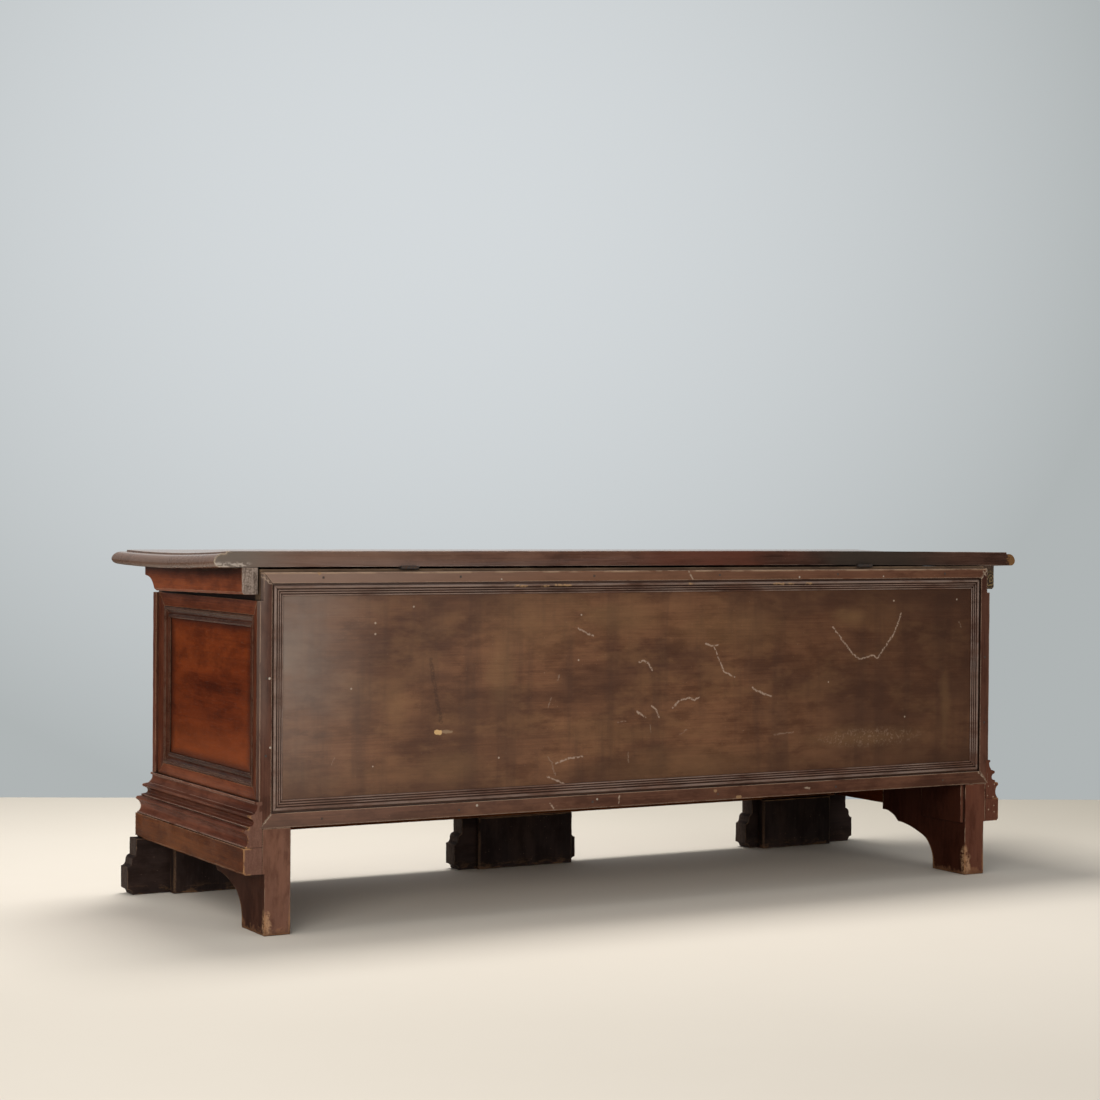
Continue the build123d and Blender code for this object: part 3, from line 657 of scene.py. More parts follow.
def off_oval(finish, centre, half):
    """How far a place is from the middle of an oval on the back: 1 on the oval."""
    away = finish.vector("SUBTRACT", on_back(finish), (centre[0], 0, centre[1]))
    return finish.number("LENGTH", finish.vector("MULTIPLY", away, (1 / half[0], 0, 1 / half[1])))


PATCHES = (
    ((309, 417), (24, 60), 0.35), ((507, 364), (22, 50), 0.25), ((405, 255), (60, 26), 0.3),
    ((-648, 320), (11, 75), 0.22), ((-432, 496), (40, 18), 0.4), ((-470, 272), (130, 18), 0.3),
    ((250, 500), (90, 50), 0.25), ((60, 500), (70, 30), 0.3), ((-150, 480), (120, 40), 0.25),
    ((-60, 240), (160, 30), 0.2),
)
for centre, half, strength in PATCHES:
    patch = (off_oval(panel, centre, half) + (mottle - 0.5) * 3.2).ramp(1.5, 0.2)
    panel.lay(patch * strength, (0.21, 0.115, 0.05))

SCRATCHES = (
    ((158, 485), (139, 475), (128, 472)),
    ((34, 423), (25, 426), (15, 422), (7, 409)),
    ((-105, 453), (-121, 448), (-131, 451)),
    ((-123, 447), (-144, 403), (-166, 392)),
    ((-206, 372), (-215, 366), (-247, 355)),
    ((-37, 341), (-48, 352), (-68, 358), (-82, 354), (-93, 358)),
    ((8, 346), (-1, 340), (-8, 324)),
    ((38, 337), (20, 326)),
    ((-384, 478), (-430, 428), (-444, 418), (-478, 424), (-486, 418), (-525, 463), (-542, 501)),
    ((200, 254), (175, 261), (147, 263)),
    ((217, 231), (193, 222), (157, 201)),
)
FAINT_SCRATCHES = (
    ((195, 406), (198, 396)), ((210, 366), (217, 350)), ((77, 320), (61, 321)), ((11, 312), (8, 300)),
    ((-52, 293), (-65, 301)), ((55, 267), (54, 249)), ((216, 265), (207, 254)), ((209, 254), (202, 233)),
    ((-254, 285), (-297, 288)), ((-679, 483), (-686, 473)), ((621, 270), (617, 281)),
)
DARK_STREAK = ((442, 437), (432, 380), (422, 333))
scratches(panel, SCRATCHES, 2.2, 0.8, (0.35, 0.25, 0.185))
scratches(panel, FAINT_SCRATCHES, 1.7, 0.5, (0.25, 0.17, 0.12))
scratches(panel, (DARK_STREAK,), 5.0, 0.5, (0.035, 0.017, 0.011))
OCHRE_MARKS = (
    (((420, 316), (402, 315)), 10.0, (3.6, 1.6), 0.7, (0.3, 0.2, 0.12)),
    (((430, 316), (423, 315)), 9.0, (4.4, 2.8), 0.95, (0.6, 0.38, 0.17)),
)
for line, ragged, edge, strength, tint in OCHRE_MARKS:
    mark = (stroke(panel, line, on_back(panel)) + (panel.fine - 0.5) * ragged).ramp(*edge)
    panel.lay(mark * strength, tint)
curls = panel.noise(130.0, detail=2, distortion=1.5).ramp(0.54, 0.62)
panel.lay(off_oval(panel, (-468, 272), (135, 20)).ramp(1.1, 0.5) * curls * 0.28, (0.3, 0.2, 0.14))

SPECKS = (
    (544, 500), (544, 482), (474, 526), (587, 393), (152, 508), (157, 430), (-375, 377), (-524, 525),
    (-631, 548), (-674, 526), (-552, 307), (312, 268), (547, 264), (717, 498),
)
spots(panel, SPECKS, 2.0, (2.0, 1.1), 0.75, (0.42, 0.33, 0.25))

# The far left end is painted paler and greyer, and the whole left end given the painted grey sheen: painted
# reflections of the light there.
painted_sheen_far_left = panel.x.ramp(0.5, 0.74) * (0.2 + mottle * 1.1) * panel.z.ramp(0.16, 0.46) * 0.7
panel.lay(painted_sheen_far_left.clamp(), (0.235, 0.205, 0.18))
panel.painted_sheen(0.15)
panel.dirt_and_shade(0.9)
dress_node("back_panel", panel.done(0.4, specular=0.1))


# ================================================================ back moulding
# A bead and three fine reeds that step down from the frame to the panel. Four lengths, mitred, glued and
# pinned on the panel; the ridges are rubbed pale and the quirk beside the frame is black.
def bow(start, end, rise, steps):
    """Points of an arc from start to end that stands off its chord by rise, to the right as drawn."""
    (ax, ay), (bx, by) = start, end
    chord = hypot(bx - ax, by - ay)
    radius = (chord * chord / 4 + rise * rise) / (2 * rise)
    middle = ((ax + bx) / 2, (ay + by) / 2)
    side = ((by - ay) / chord, -(bx - ax) / chord)
    centre = (middle[0] + side[0] * (rise - radius), middle[1] + side[1] * (rise - radius))
    first = atan2(ay - centre[1], ax - centre[0])
    turn = (atan2(by - centre[1], bx - centre[0]) - first + pi) % (2 * pi) - pi
    size = hypot(ax - centre[0], ay - centre[1])
    return [
        (centre[0] + size * cos(first + turn * k / steps), centre[1] + size * sin(first + turn * k / steps))
        for k in range(steps + 1)
    ]


def scaled(outline):
    """An outline written in millimetres, in metres."""
    return [(a * MM, b * MM) for a, b in outline]


def join(name, pieces):
    """Joins several strips into one piece."""
    bpy.ops.object.select_all(action="DESELECT")
    for piece in pieces:
        piece.select_set(True)
    bpy.context.view_layer.objects.active = pieces[0]
    bpy.ops.object.join()
    pieces[0].name = pieces[0].data.name = name
    return pieces[0]


def moulding_round(name, section, low, high, across, out):
    """Four mitred lengths of moulding round an opening, planted on the board behind it."""
    size = high - low
    centre = (low + high) / 2
    board = low if size.dot(out) > 0 else high
    centre -= out * (centre - board).dot(out)
    width, height = abs(size.dot(across)), size.z
    lengths = []
    flat, upright = (width, height), (height, width)
    for direction, inward, (length, reach) in (
        (across, Z, flat), (across, -Z, flat), (Z, across, upright), (Z, -across, upright)
    ):
        start = centre - inward * (reach / 2) - direction * (length / 2)
        gap = direction * 0.0001
        cuts = [
            (start + gap, (inward - direction).normalized()),
            (start + direction * length - gap, (inward + direction).normalized()),
        ]
        part = f"{name}_{len(lengths)}"
        shape = {"step": 0.01, "ease": 0.00025, "wobble": 0.0003}
        lengths.append(timber(part, scaled(section), start, inward, out, direction, length, cuts, **shape))
    return join(name, lengths)


REEDS = ((3.0, 8.6, 3.2), (9.4, 12.6, 2.6), (13.4, 16.6, 1.8), (17.4, 20.6, 1.0))
reeded = [(0, 0), (0, 0.8), (3.0, 0.8)]
for start, stop, shoulder in REEDS:
    reeded += bow((start, shoulder), (stop, shoulder), -0.4 * (stop - start), 6)
    reeded.append((stop, max(0.3, shoulder - 1.3)))
reeded[-1] = (REEDS[-1][1], 0)

back_reeds = Walnut(
    "walnut_back_moulding", "X", (0.065, 0.027, 0.016), (0.13, 0.06, 0.038), (0.16, 0.082, 0.055), reach=0.004
)
# A painted grey sheen towards the left end, for the light reflected there.
back_reeds.painted_sheen(0.3)
back_reeds.ridges(0.75, (0.25, 0.185, 0.15))
back_reeds.dirt_and_shade(0.8)
RUBBED = (
    ((285, 559), (262, 559)), ((232, 559), (220, 559)), ((206, 560), (176, 559)), ((-66, 560), (-73, 560)),
    ((-248, 559), (-270, 559)), ((-280, 559), (-292, 559)), ((-321, 559), (-331, 559)),
)
scratches(back_reeds, RUBBED, 2.6, 0.9, (0.36, 0.22, 0.11))
back_moulding = moulding_round("back_panel_moulding_reeded", reeded, *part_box("back_panel_moulding"), X, Y)
dress(back_moulding, back_reeds.done(0.38, specular=0.15), "back_frame", "back_panel_moulding")

# ================================================================ ends
# Each end is a wide board with four thin strips mitred round it, and a moulding of a bead, a hollow
# and a fine inner bead that lies on the board. Polished, redder than the back, black in the corners.
def polished(name, grain, dark, light, patch, worn=(0.27, 0.15, 0.085), wear=0.8, rough=0.36, specular=0.03):
    finish = Walnut(name, grain, dark, light, patch)
    finish.dirt_and_shade(1.0)
    finish.wear(wear, worn, radius=2.5)
    return finish.done(rough, specular=specular)


end_rail_finish = polished(
    "walnut_end_rails", "Y", (0.088, 0.022, 0.01), (0.225, 0.064, 0.028), (0.27, 0.086, 0.038)
)
end_stile_finish = polished(
    "walnut_end_stiles", "Z", (0.055, 0.014, 0.007), (0.13, 0.036, 0.016), (0.17, 0.052, 0.023)
)
end_moulding_finish = polished(
    "walnut_end_mouldings", "Y", (0.034, 0.01, 0.005), (0.075, 0.022, 0.011), (0.1, 0.034, 0.018),
    worn=(0.18, 0.11, 0.075), wear=1.0, rough=0.28, specular=0.05,
)
end_low, end_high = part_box("end_rail_bottom_left")[0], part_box("end_rail_top_left")[1]
opening_low, opening_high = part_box("end_panel_moulding_left")
side_board_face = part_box("side_board_left")[1].x
strip_thick = end_high.x - end_low.x


def bead_and_cove(depth, hollow):
    """The panel moulding's section: it stands on the board as high as the frame beside it."""
    return (
        [(0, 0)] + bow((0, depth - 0.5), (5.2, depth - 0.5), -2.3, 5)
        + bow((6.2, depth - 0.5), (14.0, 2.6), hollow, 6) + bow((14.0, 2.6), (18.8, 2.6), -1.8, 5)
        + [(20.0, 2.0), (20.0, 0)]
    )


for side, label in SIDES:
    out = X * side
    corners = {}
    for rear in (0, 1):
        for top in (0, 1):
            corners[rear, top] = [
                Vector((side * side_board_face, box[rear].y, box[top].z))
                for box in ((end_low, end_high), (opening_low, opening_high))
            ]
    strips = {
        "rail_bottom": (((0, 0), (1, 0)), Y, Z, opening_low.z - end_low.z, end_rail_finish),
        "rail_top": (((0, 1), (1, 1)), Y, -Z, end_high.z - opening_high.z, end_rail_finish),
        "stile_front": (((0, 0), (0, 1)), Z, Y, opening_low.y - end_low.y, end_stile_finish),
        "stile_rear": (((1, 0), (1, 1)), Z, -Y, end_high.y - opening_high.y, end_stile_finish),
    }
    for name, (ends, along, inward, width, wood) in strips.items():
        start, stop = corners[ends[0]][0], corners[ends[1]][0]
        centre = (start + stop) / 2 + inward * (width / 2)
        cuts = [mitre(*corners[end], out, centre) for end in ends]
        strip = timber(
            f"end_{name}_{label}_walnut", rectangle(width, strip_thick), start, inward, out, along,
            (stop - start).length, cuts, step=0.01, ease=0.0006,
        )
        dress(strip, wood, "faces", f"end_{name}_{label}")
    low = Vector((side * side_board_face, opening_low.y, opening_low.z))
    high = Vector((low.x, opening_high.y, opening_high.z))
    moulding = moulding_round(f"end_panel_moulding_{label}_run", bead_and_cove(6, 1.1), low, high, Y, out)
    dress(moulding, end_moulding_finish, "faces", f"end_panel_moulding_{label}")

# ================================================================ front
# The front has rails, stiles and a muntin planted on one board, round two moulded panels. The stiles
# stand a little proud of the ends, and are notched at the top beside the lid's battens.
front_finish = polished(
    "walnut_front_rails", "X", (0.06, 0.02, 0.012), (0.12, 0.042, 0.023), (0.15, 0.055, 0.03)
)
front_upright_finish = polished(
    "walnut_front_uprights", "Z", (0.075, 0.02, 0.011), (0.15, 0.05, 0.03), (0.2, 0.085, 0.05),
    worn=(0.4, 0.26, 0.15), wear=1.0,
)
dress_node("front_board", end_panel_finish)
for name in ("front_rail_top", "front_rail_bottom", "front_muntin"):
    low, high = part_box(name)
    size = high - low
    across, along, wood = (X, Z, front_upright_finish) if size.z > size.x else (Z, X, front_finish)
    section = rectangle(size.dot(across), size.y)
    member = timber(f"{name}_walnut", section, low, across, Y, along, size.dot(along), step=0.01)
    dress(member, wood, "faces", name)

for side, label in SIDES:
    low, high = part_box(f"front_stile_{label}")
    inner, edge = (low.x, high.x) if side == LEFT else (high.x, low.x)
    board = side * side_board_face
    outline = [(inner, low.z), (edge, low.z), (edge, notch_z)]
    outline += [(board, notch_z), (board, high.z), (inner, high.z)]
    points = [Vector((x, low.y, z)) for x, z in outline]
    stile = solid(f"front_stile_{label}_walnut", points, Y, high.y - low.y, 3)
    score(low, Z, high.z - low.z, 0.012)
    finish_mesh(stile, 0.0012, 0.0009, wobble_size=0.012)
    dress(stile, front_upright_finish, "faces", f"front_stile_{label}")

    low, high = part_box(f"front_panel_moulding_{label}")
    moulding = moulding_round(f"front_panel_moulding_{label}_run", bead_and_cove(16, 2.4), low, high, X, -Y)
    dress(moulding, end_moulding_finish, "faces", f"front_panel_moulding_{label}")

# ================================================================ base moulding
# A run of fillet, hollow, torus, nose and cove round the front and both ends, stepping out to the plinth.
# It is mitred at the front corners and sawn square at the rear. Its ridges are rubbed pale.
base_low, base_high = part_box("base_moulding_front")
base_front, base_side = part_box("front_rail_top")[0].y, end_high.x
base_top, base_bottom = base_high.z / MM, base_low.z / MM


def base_outline(backing):
    return (
        [(-backing, base_top), (5.2, base_top), (5.4, 213.2)]
        + bow((3.0, 212.4), (7.0, 200.4), 1.5, 6)
        + [(7.4, 198.6)]
        + bow((13.8, 196.4), (13.8, 190.2), -3.0, 8)
        + bow((11.0, 188.6), (11.0, 179.8), 1.8, 5)
        + [(18.0, 177.4), (18.0, 175.6), (17.0, 174.8)]
        + bow((21.2, 173.8), (22.0, 166.0), -3.8, 8)
        + bow((22.0, 165.6), (22.2, 146.0), 3.4, 8)[1:]
        + [(23.4, 145.6), (23.4, base_bottom), (-backing, base_bottom)]
    )


def run_round(part, outline, front_wood, end_wood, ease):
    """The front length, mitred at both ends, and the two side lengths, sawn square at the rear."""
    beyond = 0.03
    backing = (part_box("front_board")[0].y - base_front) / MM
    half = base_side + beyond
    corner = {side: Vector((side * base_side, base_front, 0)) for side, label in SIDES}
    cuts = [(corner[side] - X * side * 0.0001, (X * side + Y).normalized()) for side, label in SIDES]
    start = Vector((-half, base_front, 0))
    front = timber(f"{part}_front_run", scaled(outline(backing)), start, -Y, Z, X, 2 * half, cuts, ease=ease)
    dress(front, front_wood, part, f"{part}_front")
    for side, label in SIDES:
        backing = (base_side - side_board_face) / MM
        start = Vector((side * base_side, base_front - beyond, 0))
        run = timber(
            f"{part}_{label}_run", scaled(outline(backing)), start, X * side, Z, Y, cad_high.y - start.y,
            [(corner[side], (-X * side - Y).normalized())], step=0.008, ease=ease, wobble=0.0006,
        )
        dress(run, end_wood, part, f"{part}_{label}")


END_SPECKS = ((-751, 167), (-766, 170), (-749, 149), (-763, 146), (-765, 129), (-766, 117), (-752, 122))
END_GRAIN = ((0.12, 0.056, 0.039), (0.165, 0.084, 0.059))


def run_finish(name, grain, dark, light, patch, worn, amount=1.0):
    finish = Walnut(name, grain, dark, light, patch, reach=0.012)
    finish.lay(finish.y.ramp(0.05, 0.24) * 0.7, (0.62, 0.52, 0.5), blend="MULTIPLY")
    finish.dirt_and_shade(1.2)
    finish.wear(amount, worn, radius=2.6, where=finish.y.ramp(0.258, 0.25))
    if grain == "Y":
        finish.end_grain(*END_GRAIN)
        # The right ends are painted darker and redder: painted shade.
        finish.shaded_right_end()
        raw_end = finish.y.ramp(0.248, 0.253) * abs(finish.x).ramp(base_side + 0.01, base_side + 0.016)
        raw_end *= finish.fine.ramp(0.44, 0.56)
        finish.wear(1.0, (0.4, 0.21, 0.09), radius=5.5, where=raw_end)
        spots(finish, END_SPECKS, 2.0, (1.8, 0.9), 0.7, (0.45, 0.32, 0.22))
    return finish.done(0.4, specular=0.02)


base_tones = (0.066, 0.02, 0.011), (0.178, 0.059, 0.033), (0.22, 0.083, 0.047), (0.37, 0.235, 0.175), 1.2
run_round(
    "base_moulding", base_outline, run_finish("walnut_base_front", "X", *base_tones),
    run_finish("walnut_base_ends", "Y", *base_tones), 0.0004,
)


# ================================================================ plinth
# A plain walnut board under the base moulding, its lower arris eased, its rear end raw where it was sawn.
def plinth_outline(backing):
    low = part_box("plinth_front")[0].z / MM
    eased = bow((23, low), (26, low + 3), -0.9, 3)
    return [(-backing, base_bottom), (-backing, low)] + eased + [(26, base_bottom)]


plinth_tones = (0.065, 0.017, 0.005), (0.155, 0.046, 0.013), (0.19, 0.062, 0.018), (0.3, 0.17, 0.1)
run_round(
    "plinth", plinth_outline, run_finish("walnut_plinth_front", "X", *plinth_tones),
    run_finish("walnut_plinth_ends", "Y", *plinth_tones), 0.0007,
)

# ================================================================ rear feet
# Thick brackets set inside the plinth at the rear corners, with an ogee front edge. The faces are a matt
# purple brown; the bottoms and the outer arris are chewed down to raw wood.
rear_foot = Walnut(
    "walnut_rear_feet", "Z", (0.125, 0.058, 0.04), (0.165, 0.082, 0.057), (0.19, 0.086, 0.052), bands=0.5,
    patches=0.5, pores=0.1,
)
# The side faces are painted much darker: painted shade, for the dark under the plinth. The right foot is
# painted in shade as well.
painted_shade_sides = abs(rear_foot.facing(0)).ramp(0.6, 0.9)
rear_foot.lay(painted_shade_sides, (0.36, 0.29, 0.26), blend="MULTIPLY")
rear_foot.shaded_right_end((0.8, 0.6, 0.52))
frayed = (rear_foot.fine - 0.5) * 0.05 + (rear_foot.stain - 0.5) * 0.03
raw_bottom = (rear_foot.z + frayed).ramp(0.013, 0.003)
rear_foot.lay(raw_bottom * 0.45, (0.3, 0.14, 0.07))
inner_face, outer_face = (corner.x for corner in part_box("rear_foot_left"))
SET_BACK, TALLER = 0.004, 2.4
upright = rear_foot.vector("MULTIPLY", rear_foot.place, (TALLER, TALLER, 1.0))
chewed = rear_foot.noise(190.0, roughness=0.75)
for x, z in ((outer_face - SET_BACK, 0.014), (-inner_face, 0.02)):
    corner = rear_foot.number("DISTANCE", upright, (x * TALLER, cad_high.y * TALLER, z)) + frayed
    split_off = corner.ramp(0.036, 0.02) * chewed.ramp(0.4, 0.56)
    rear_foot.lay(split_off * 0.8, (0.42, 0.24, 0.13))
rear_foot.dirt_and_shade(0.9)
packing_low, packing_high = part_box("foot_packing")
off_packing = abs(rear_foot.z - packing_low.z).ramp(0.001, 0.004)
more_right = rear_foot.x.ramp(0.1, -0.1) * 0.5 + 0.5
rear_foot.wear(0.75, (0.36, 0.24, 0.16), radius=2.6, where=more_right * off_packing)
low_down = (rear_foot.z + frayed * 1.5).ramp(0.06, 0.02)
rear_foot.wear(1.1, (0.36, 0.18, 0.08), radius=6.0, where=low_down)
rear_foot_finish = rear_foot.done(0.6, specular=0.03)

FOOT_TOP, FOOT_UNDER_PLINTH = 0.173, 0.1
ogee = (
    [(163, 6), (164, 0), (260, 0), (260, 173), (4.4, 173)] + bow((4.4, 97.4), (54, 79), -6.0, 6)
    + bow((54, 79), (122, 64.5), -3.0, 6)[1:] + bow((122, 64.5), (163, 6), -14.0, 8)[1:]
)
for side, label in SIDES:
    points = [Vector((side * inner_face, y * MM, z * MM)) for y, z in ogee[:-1]]
    foot = solid(f"rear_foot_{label}_bracket", points, X, side * (outer_face - inner_face), 5)
    score(Vector((0, 0, 0)), Z, FOOT_TOP, 0.01)
    score(Vector((0, 0.005, 0)), Y, 0.25, 0.012)
    for level in (FOOT_UNDER_PLINTH - 0.0002, FOOT_UNDER_PLINTH):
        line_round(Z * level, Z)
    bpy.ops.mesh.select_mode(type="VERT")
    bpy.ops.mesh.select_all(action="DESELECT")
    bpy.ops.object.mode_set(mode="OBJECT")
    for vertex in foot.data.vertices:
        vertex.select = abs(vertex.co.x) > outer_face - 0.0001 and vertex.co.z < FOOT_UNDER_PLINTH - 0.0001
    bpy.ops.object.mode_set(mode="EDIT")
    bpy.ops.transform.translate(value=(-side * SET_BACK, 0, 0))
    finish_mesh(foot, 0.0012, 0.0011, wobble_size=0.014)
    dress(foot, rear_foot_finish, "rear_feet", f"rear_foot_{label}")

packing_size = packing_high - packing_low
packing = timber(
    "foot_packing_board", rectangle(packing_size.y, packing_size.z), packing_low, Y, Z, X, packing_size.x,
    step=0.004, ease=0.0006, wobble=0,
)
dress(packing, rear_foot_finish, "rear_feet", "foot_packing")

# ================================================================ front feet
# Shaped brackets sawn from thick board, each with a rough block glued behind it. Nearly black, their
# colour darkened to paint in the shade under the chest; splintered and stained ochre along the floor.
def shaded_foot_finish(name, grain, worn, amount, radius):
    # The dark tones are painted shade: the feet stand in the shadow under the chest.
    finish = Walnut(
        name, grain, (0.018, 0.012, 0.0105), (0.034, 0.021, 0.0175), (0.048, 0.027, 0.019),
        bands=0.7, pores=0.1,
    )
    splinter = finish.noise((30, 30, 90), detail=5, roughness=0.7)
    low_down = (finish.z + (splinter - 0.5) * 0.1).ramp(0.03, 0.002)
    finish.lay(low_down * splinter.ramp(0.5, 0.6) * 0.8, (0.16, 0.085, 0.04))
    finish.wear(amount, worn, radius)
    finish.end_grain((0.03, 0.02, 0.016), (0.075, 0.05, 0.04))
    return finish.done(0.62, specular=0.04)


front_foot_finish = shaded_foot_finish("walnut_front_feet", "X", (0.2, 0.13, 0.08), 0.85, 3.0)
foot_block_finish = shaded_foot_finish("walnut_foot_blocks", "Z", (0.28, 0.16, 0.085), 1.1, 5.0)

for name in ("left", "middle", "right"):
    low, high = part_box(f"front_foot_{name}")
    half, top = (high.x - low.x) / 2 / MM, high.z / MM
    edge = (
        [(half - 10, 0)] + bow((half - 10, 0), (half, 10), -3.0, 4)[1:]
        + bow((half, 50), (half - 8, 58), -2.4, 4)
        + bow((half - 8, 61), (half - 16, 70), 2.0, 4) + [(half - 16, top)]
    )
    outline = edge + [(-a, b) for a, b in reversed(edge)]
    middle = Vector(((low.x + high.x) / 2, high.y, 0))
    points = [middle + X * (a * MM) + Z * (b * MM) for a, b in outline]
    foot = solid(f"front_foot_{name}_bracket", points, -Y, high.y - low.y, 4)
    score(low, X, high.x - low.x, 0.014)
    score(low, Z, high.z - low.z, 0.014)
    finish_mesh(foot, 0.0016, 0.0014, wobble_size=0.016)
    dress(foot, front_foot_finish, "dark_feet", f"front_foot_{name}")

    low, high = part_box(f"foot_block_{name}")
    width, depth = (high.x - low.x) / MM, (high.y - low.y) / MM
    section = [(0, 0), (width, 0), (width, depth - 3), (width - 3, depth), (3, depth), (0, depth - 3)]
    block = timber(
        f"foot_block_{name}_rough", scaled(section), low, X, Y, Z, high.z - low.z,
        step=0.01, ease=0.0012, wobble=0,
    )
    only(block)
    bpy.ops.object.mode_set(mode="EDIT")
    score(low, X, high.x - low.x, 0.014)
    finish_mesh(block, 0, 0.0014, wobble_size=0.012)
    dress(block, foot_block_finish, "dark_feet", f"foot_block_{name}")

# ================================================================ lid
# One wide walnut board, cupped and a little twisted with age, with a thumbnail edge and a step on the
# front and both ends and a square rear edge. It turns on two iron butts; its right rear corner is worn.
LID_LENGTH, LID_WIDTH, LID_THICK = 1647.0, 503.0, 26.0
LID_REAR_Z, LID_CUP, LID_FALL, LID_TWIST = 0.5925, 0.0045, radians(0.5), 0.003
LID_LEDGE, LID_STEP, LID_CORNER = 22.5, 21.0, 15.0
lid_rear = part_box("lid_board")[1].y


def underside(y):
    """The height of the lid's underside: hollow between its long edges, and falling towards the front."""
    along = (lid_rear - y) * cos(LID_FALL)
    off_centre = (along / MM - LID_WIDTH / 2) / (LID_WIDTH / 2)
    return LID_REAR_Z - along * sin(LID_FALL) - LID_CUP * (1 - off_centre ** 2)


def twist(x, y):
    """How far the lid has sunk towards its right rear corner."""
    towards_right = max(0.0, min(1.0, (-x - 0.2) / 0.62))
    towards_rear = max(0.0, min(1.0, (y + 0.25) / 0.5))
    return -LID_TWIST * towards_right ** 1.5 * towards_rear


# The board is drawn too wide at the rear, and sawn square there.
spare = 60.0
thumbnail = (
    bow((9.0, 0), (0, 9.0), -2.2, 5) + bow((0, 9.0), (13.5, LID_LEDGE), -3.4, 7)[1:]
    + [(LID_STEP - 0.4, LID_LEDGE), (LID_STEP, LID_LEDGE + 0.5)]
    + [(LID_STEP + 0.2, LID_THICK - 0.8), (LID_STEP + 1.2, LID_THICK)]
)
half_x, front_edge, rear_edge = LID_LENGTH / 2, lid_rear / MM - LID_WIDTH, lid_rear / MM + spare

# The plan of its underside, with the two front corners rounded.
inset = thumbnail[0][0]
x, y, rounding = half_x - inset, front_edge + inset, LID_CORNER - inset
turns = [pi / 2 * k / 6 for k in range(7)]
corner = [(x - rounding * (1 - sin(a)), y + rounding * (1 - cos(a))) for a in turns]
outline = [(-a, b) for a, b in reversed(corner)] + corner + [(x, rear_edge), (-x, rear_edge)]
lid = draw_section("lid_board_walnut", [Vector((a * MM, b * MM, 0)) for a, b in outline])
plan_middle = (front_edge + rear_edge) / 2
half_y = (rear_edge - front_edge) / 2
for (inset, height), (next_inset, next_height) in zip(thumbnail, thumbnail[1:]):
    rise = (0, 0, (next_height - height) * MM)
    bpy.ops.mesh.extrude_region_move(TRANSFORM_OT_translate={"value": rise})
    grow = ((half_x - next_inset) / (half_x - inset), (half_y - next_inset) / (half_y - inset), 1)
    bpy.ops.transform.resize(value=grow, center_override=(0, plan_middle * MM, 0))
score(Vector((-half_x * MM, 0, 0)), X, LID_LENGTH * MM, 0.0201)
score(Vector((0, front_edge * MM, 0)), Y, LID_WIDTH * MM, 0.0167)
saw(Vector((0, lid_rear, 0)), Y)
finish_mesh(lid, 0.0009, 0.0005, wobble_size=0.05)

bpy.ops.object.select_all(action="DESELECT")
bpy.ops.object.add(type="LATTICE", location=(0, lid_rear - LID_WIDTH * MM / 2, LID_THICK * MM / 2))
press = bpy.context.object
press.scale = (LID_LENGTH * MM, LID_WIDTH * MM, LID_THICK * MM)
press.data.points_u, press.data.points_v, press.data.points_w = 17, 17, 2
for point in press.data.points:
    x, y = point.co.x * press.scale.x, press.location.y + point.co.y * press.scale.y
    point.co_deform.z += (underside(y) + twist(x, y)) / press.scale.z
for axis in "uvw":
    setattr(press.data, f"interpolation_type_{axis}", "KEY_LINEAR" if axis == "w" else "KEY_CARDINAL")
bpy.context.view_layer.update()
apply_modifier(lid, "LATTICE", object=press)
bpy.data.objects.remove(press)

lid_wood = Walnut(
    "walnut_lid", "X", (0.056, 0.022, 0.013), (0.132, 0.06, 0.038), (0.172, 0.09, 0.058), bands=0.45,
    patches=0.6,
)
# The lid is painted lighter towards its left end and darker towards its right: painted light and painted
# shade, as the light falls off from left to right.
painted_light_left = lid_wood.x.ramp(0.1, 0.8) * (0.4 + lid_wood.stain) * 0.6
lid_wood.lay(painted_light_left.clamp(), (0.2, 0.12, 0.082))
lid_wood.lay(lid_wood.x.ramp(0.1, -0.45) * 0.8, (0.5, 0.52, 0.55), blend="MULTIPLY")
lid_wood.dirt_and_shade(0.8)
lid_wood.wear(0.9, (0.34, 0.23, 0.17), radius=2.2)
rear_corner = lid_wood.x.ramp(0.79, 0.805) * lid_wood.y.ramp(lid_rear - 0.007, lid_rear - 0.003)
sawn_edge = lid_wood.y.ramp(lid_rear - 0.0014, lid_rear - 0.0008)
lid_wood.lay(lid_wood.x.ramp(0.66, 0.79) * sawn_edge * 0.7, (0.12, 0.105, 0.085))
for here, there, tint in ((0.2, -0.1, (0.11, 0.03, 0.016)), (-0.28, -0.42, (0.03, 0.024, 0.018))):
    stained = lid_wood.x.ramp(here, there) * lid_wood.x.ramp(there - 0.3, there - 0.1) * sawn_edge
    lid_wood.lay(stained * lid_wood.stain.ramp(0.35, 0.6) * 0.8, tint)
lid_wood.wear(1.5, (0.42, 0.32, 0.22), radius=5.0, where=rear_corner)
splashed = lid_wood.noise((90, 90, 160), detail=3, roughness=0.7)
splash = splashed.ramp(0.48, 0.56) * lid_wood.x.ramp(0.755, 0.775) * sawn_edge
lid_wood.lay(splash * lid_wood.z.ramp(0.603, 0.597) * 0.8, (0.42, 0.35, 0.29))
LID_TIP = (-0.822, 0.245, 0.602)
chipped = (lid_wood.fine - 0.5) * 0.04 + (splashed - 0.5) * 0.04
off_tip = lid_wood.number("DISTANCE", lid_wood.place, LID_TIP) + chipped
lid_wood.lay(off_tip.ramp(0.02, 0.01) * 0.7, (0.23, 0.115, 0.04))
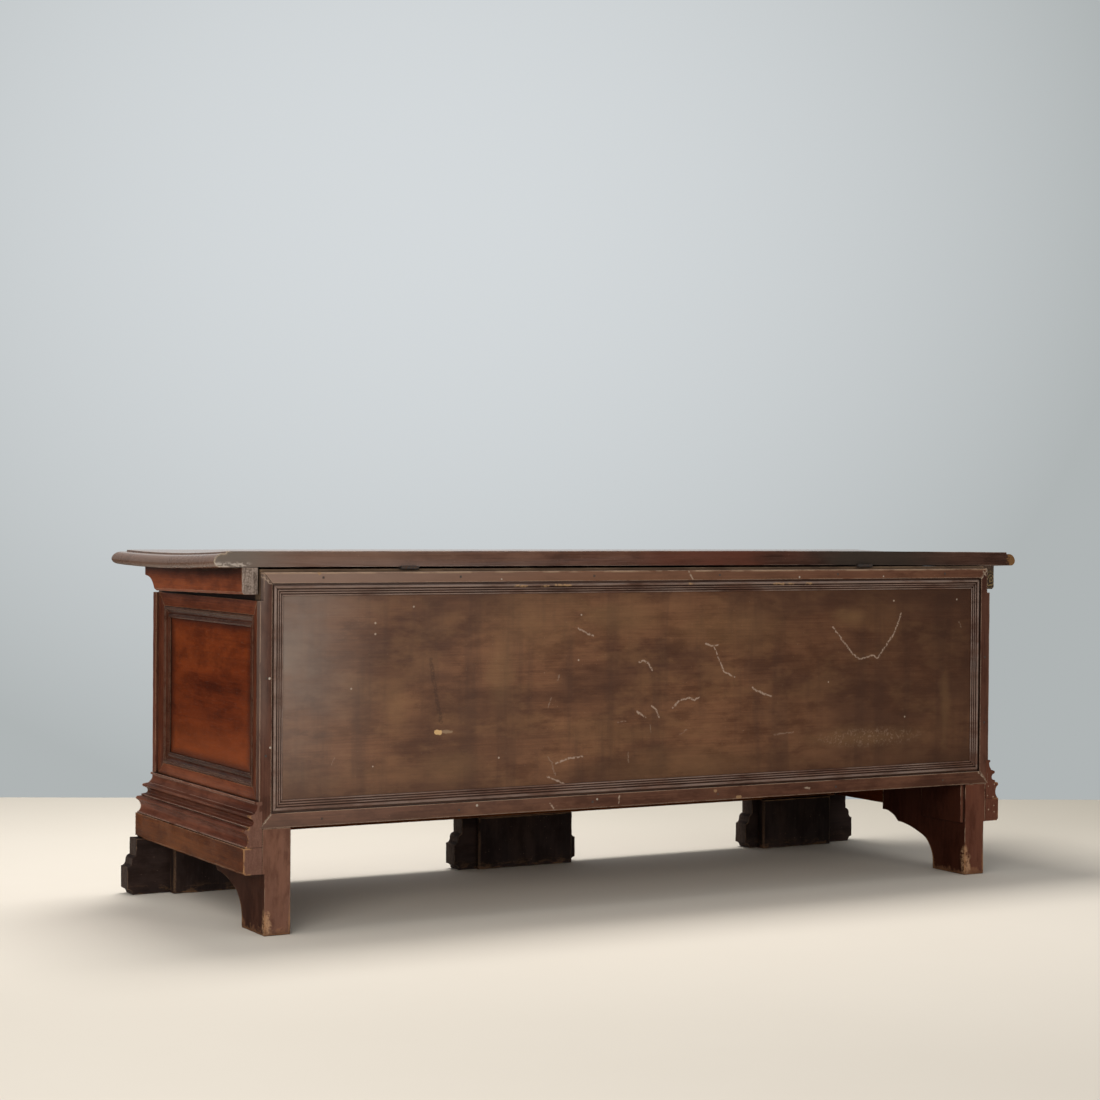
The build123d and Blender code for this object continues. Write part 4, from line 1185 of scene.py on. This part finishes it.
# The upward faces are painted lighter: their faded polish, and a painted sheen for the top's bright
# reflection.
upward = lid_wood.facing(2).ramp(0.85, 0.97)
lid_wood.lay(upward * (0.2 + lid_wood.stain * 0.7), (0.24, 0.13, 0.075))
lid_finish = lid_wood.done(0.3, coat=upward * 0.75 + 0.05, specular=0.12)
dress(lid, lid_finish, "lid", "lid_board", body="lid")

# ================================================================ battens of the lid
# A stout batten is screwed under each end of the lid and hangs outside the end of the chest. Its front
# end is hollowed, its lower outer arris bevelled, and its rear end shows rough sawn grain.
batten = Walnut(
    "walnut_battens", "Y", (0.14, 0.03, 0.009), (0.31, 0.077, 0.024), (0.36, 0.104, 0.034), patches=0.5,
    reach=0.035,
)
# The batten's top is painted dark, and its hollows darkened far out: painted shadow of the lid that overhangs
# it.
batten.lay(batten.z.ramp(0.563, 0.588), (0.3, 0.27, 0.27), blend="MULTIPLY")
batten.dirt_and_shade(1.2)
batten.wear(1.1, (0.36, 0.2, 0.11), radius=2.0)
batten.end_grain((0.1, 0.07, 0.055), (0.34, 0.265, 0.215))
# The right batten is painted much darker: painted shade.
batten.shaded_right_end((0.42, 0.35, 0.3))
KNOT = (-0.768, 0.242, 0.562)
knot = batten.number("DISTANCE", batten.place, KNOT) + (batten.fine - 0.5) * 0.022
batten.lay(knot.ramp(0.03, 0.016) * 0.6, (0.03, 0.022, 0.016))
rings = (knot * 900.0).math("SINE").ramp(0.3, 0.9) * knot.ramp(0.018, 0.012)
batten.lay(rings * 0.6, (0.42, 0.29, 0.12))
batten_finish = batten.done(0.4, specular=0.06)

(rear_y, rear_z), (toe_y, toe_z), (lip_y, lip_z) = (0.242, 0.5484), (-0.164, 0.5422), (-0.2133, 0.569)
BATTEN_BEVEL, RIGHT_BATTEN_LOWER = 0.004, 0.0016
batten_inner, batten_outer = (corner.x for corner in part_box("lid_batten_left"))
hollow = scaled(bow((-204.0, 567.8), (-164, 542.2), -7.0, 6))
for side, label in SIDES:
    sunk = [twist(side * batten_outer, y) for y in (rear_y, toe_y)]
    if side == RIGHT:
        sunk = [sink - RIGHT_BATTEN_LOWER for sink in sunk]
    top = [lip_y + (rear_y - lip_y) * k / 24 for k in range(25)]
    outline = [(rear_y, rear_z + sunk[0])]
    outline += [(y, underside(y) + twist(side * batten_outer, y)) for y in reversed(top)]
    outline += [(lip_y, lip_z)] + hollow[:-1] + [(toe_y, toe_z + sunk[1])]
    points = [Vector((side * batten_inner, y, z)) for y, z in outline]
    bar = solid(f"lid_batten_{label}_walnut", points, X, side * (batten_outer - batten_inner), 3)
    rise = rear_z - toe_z + sunk[0] - sunk[1]
    fall = Vector((0, rear_y - toe_y, rise)).normalized()
    arris = Vector((side * batten_outer, rear_y, outline[0][1])) + Z * BATTEN_BEVEL
    saw(arris, (X * side + Vector((0, fall.z, -fall.y))).normalized())
    score(Vector((0, lip_y, 0)), Y, rear_y - lip_y, 0.012)
    score(Vector((0, 0, toe_z)), Z, 0.04, 0.01)
    finish_mesh(bar, 0.0009, 0.0008, wobble_size=0.02)
    dress(bar, batten_finish, "lid_trim", f"lid_batten_{label}", body="lid")

# ================================================================ hinges
# Two small iron butts with three knuckles on a thick pin, let in under the lid and screwed on the back
# board, rusty and worn grey.
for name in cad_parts:
    if name.startswith("hinge"):
        dress_node(name, iron_finish)
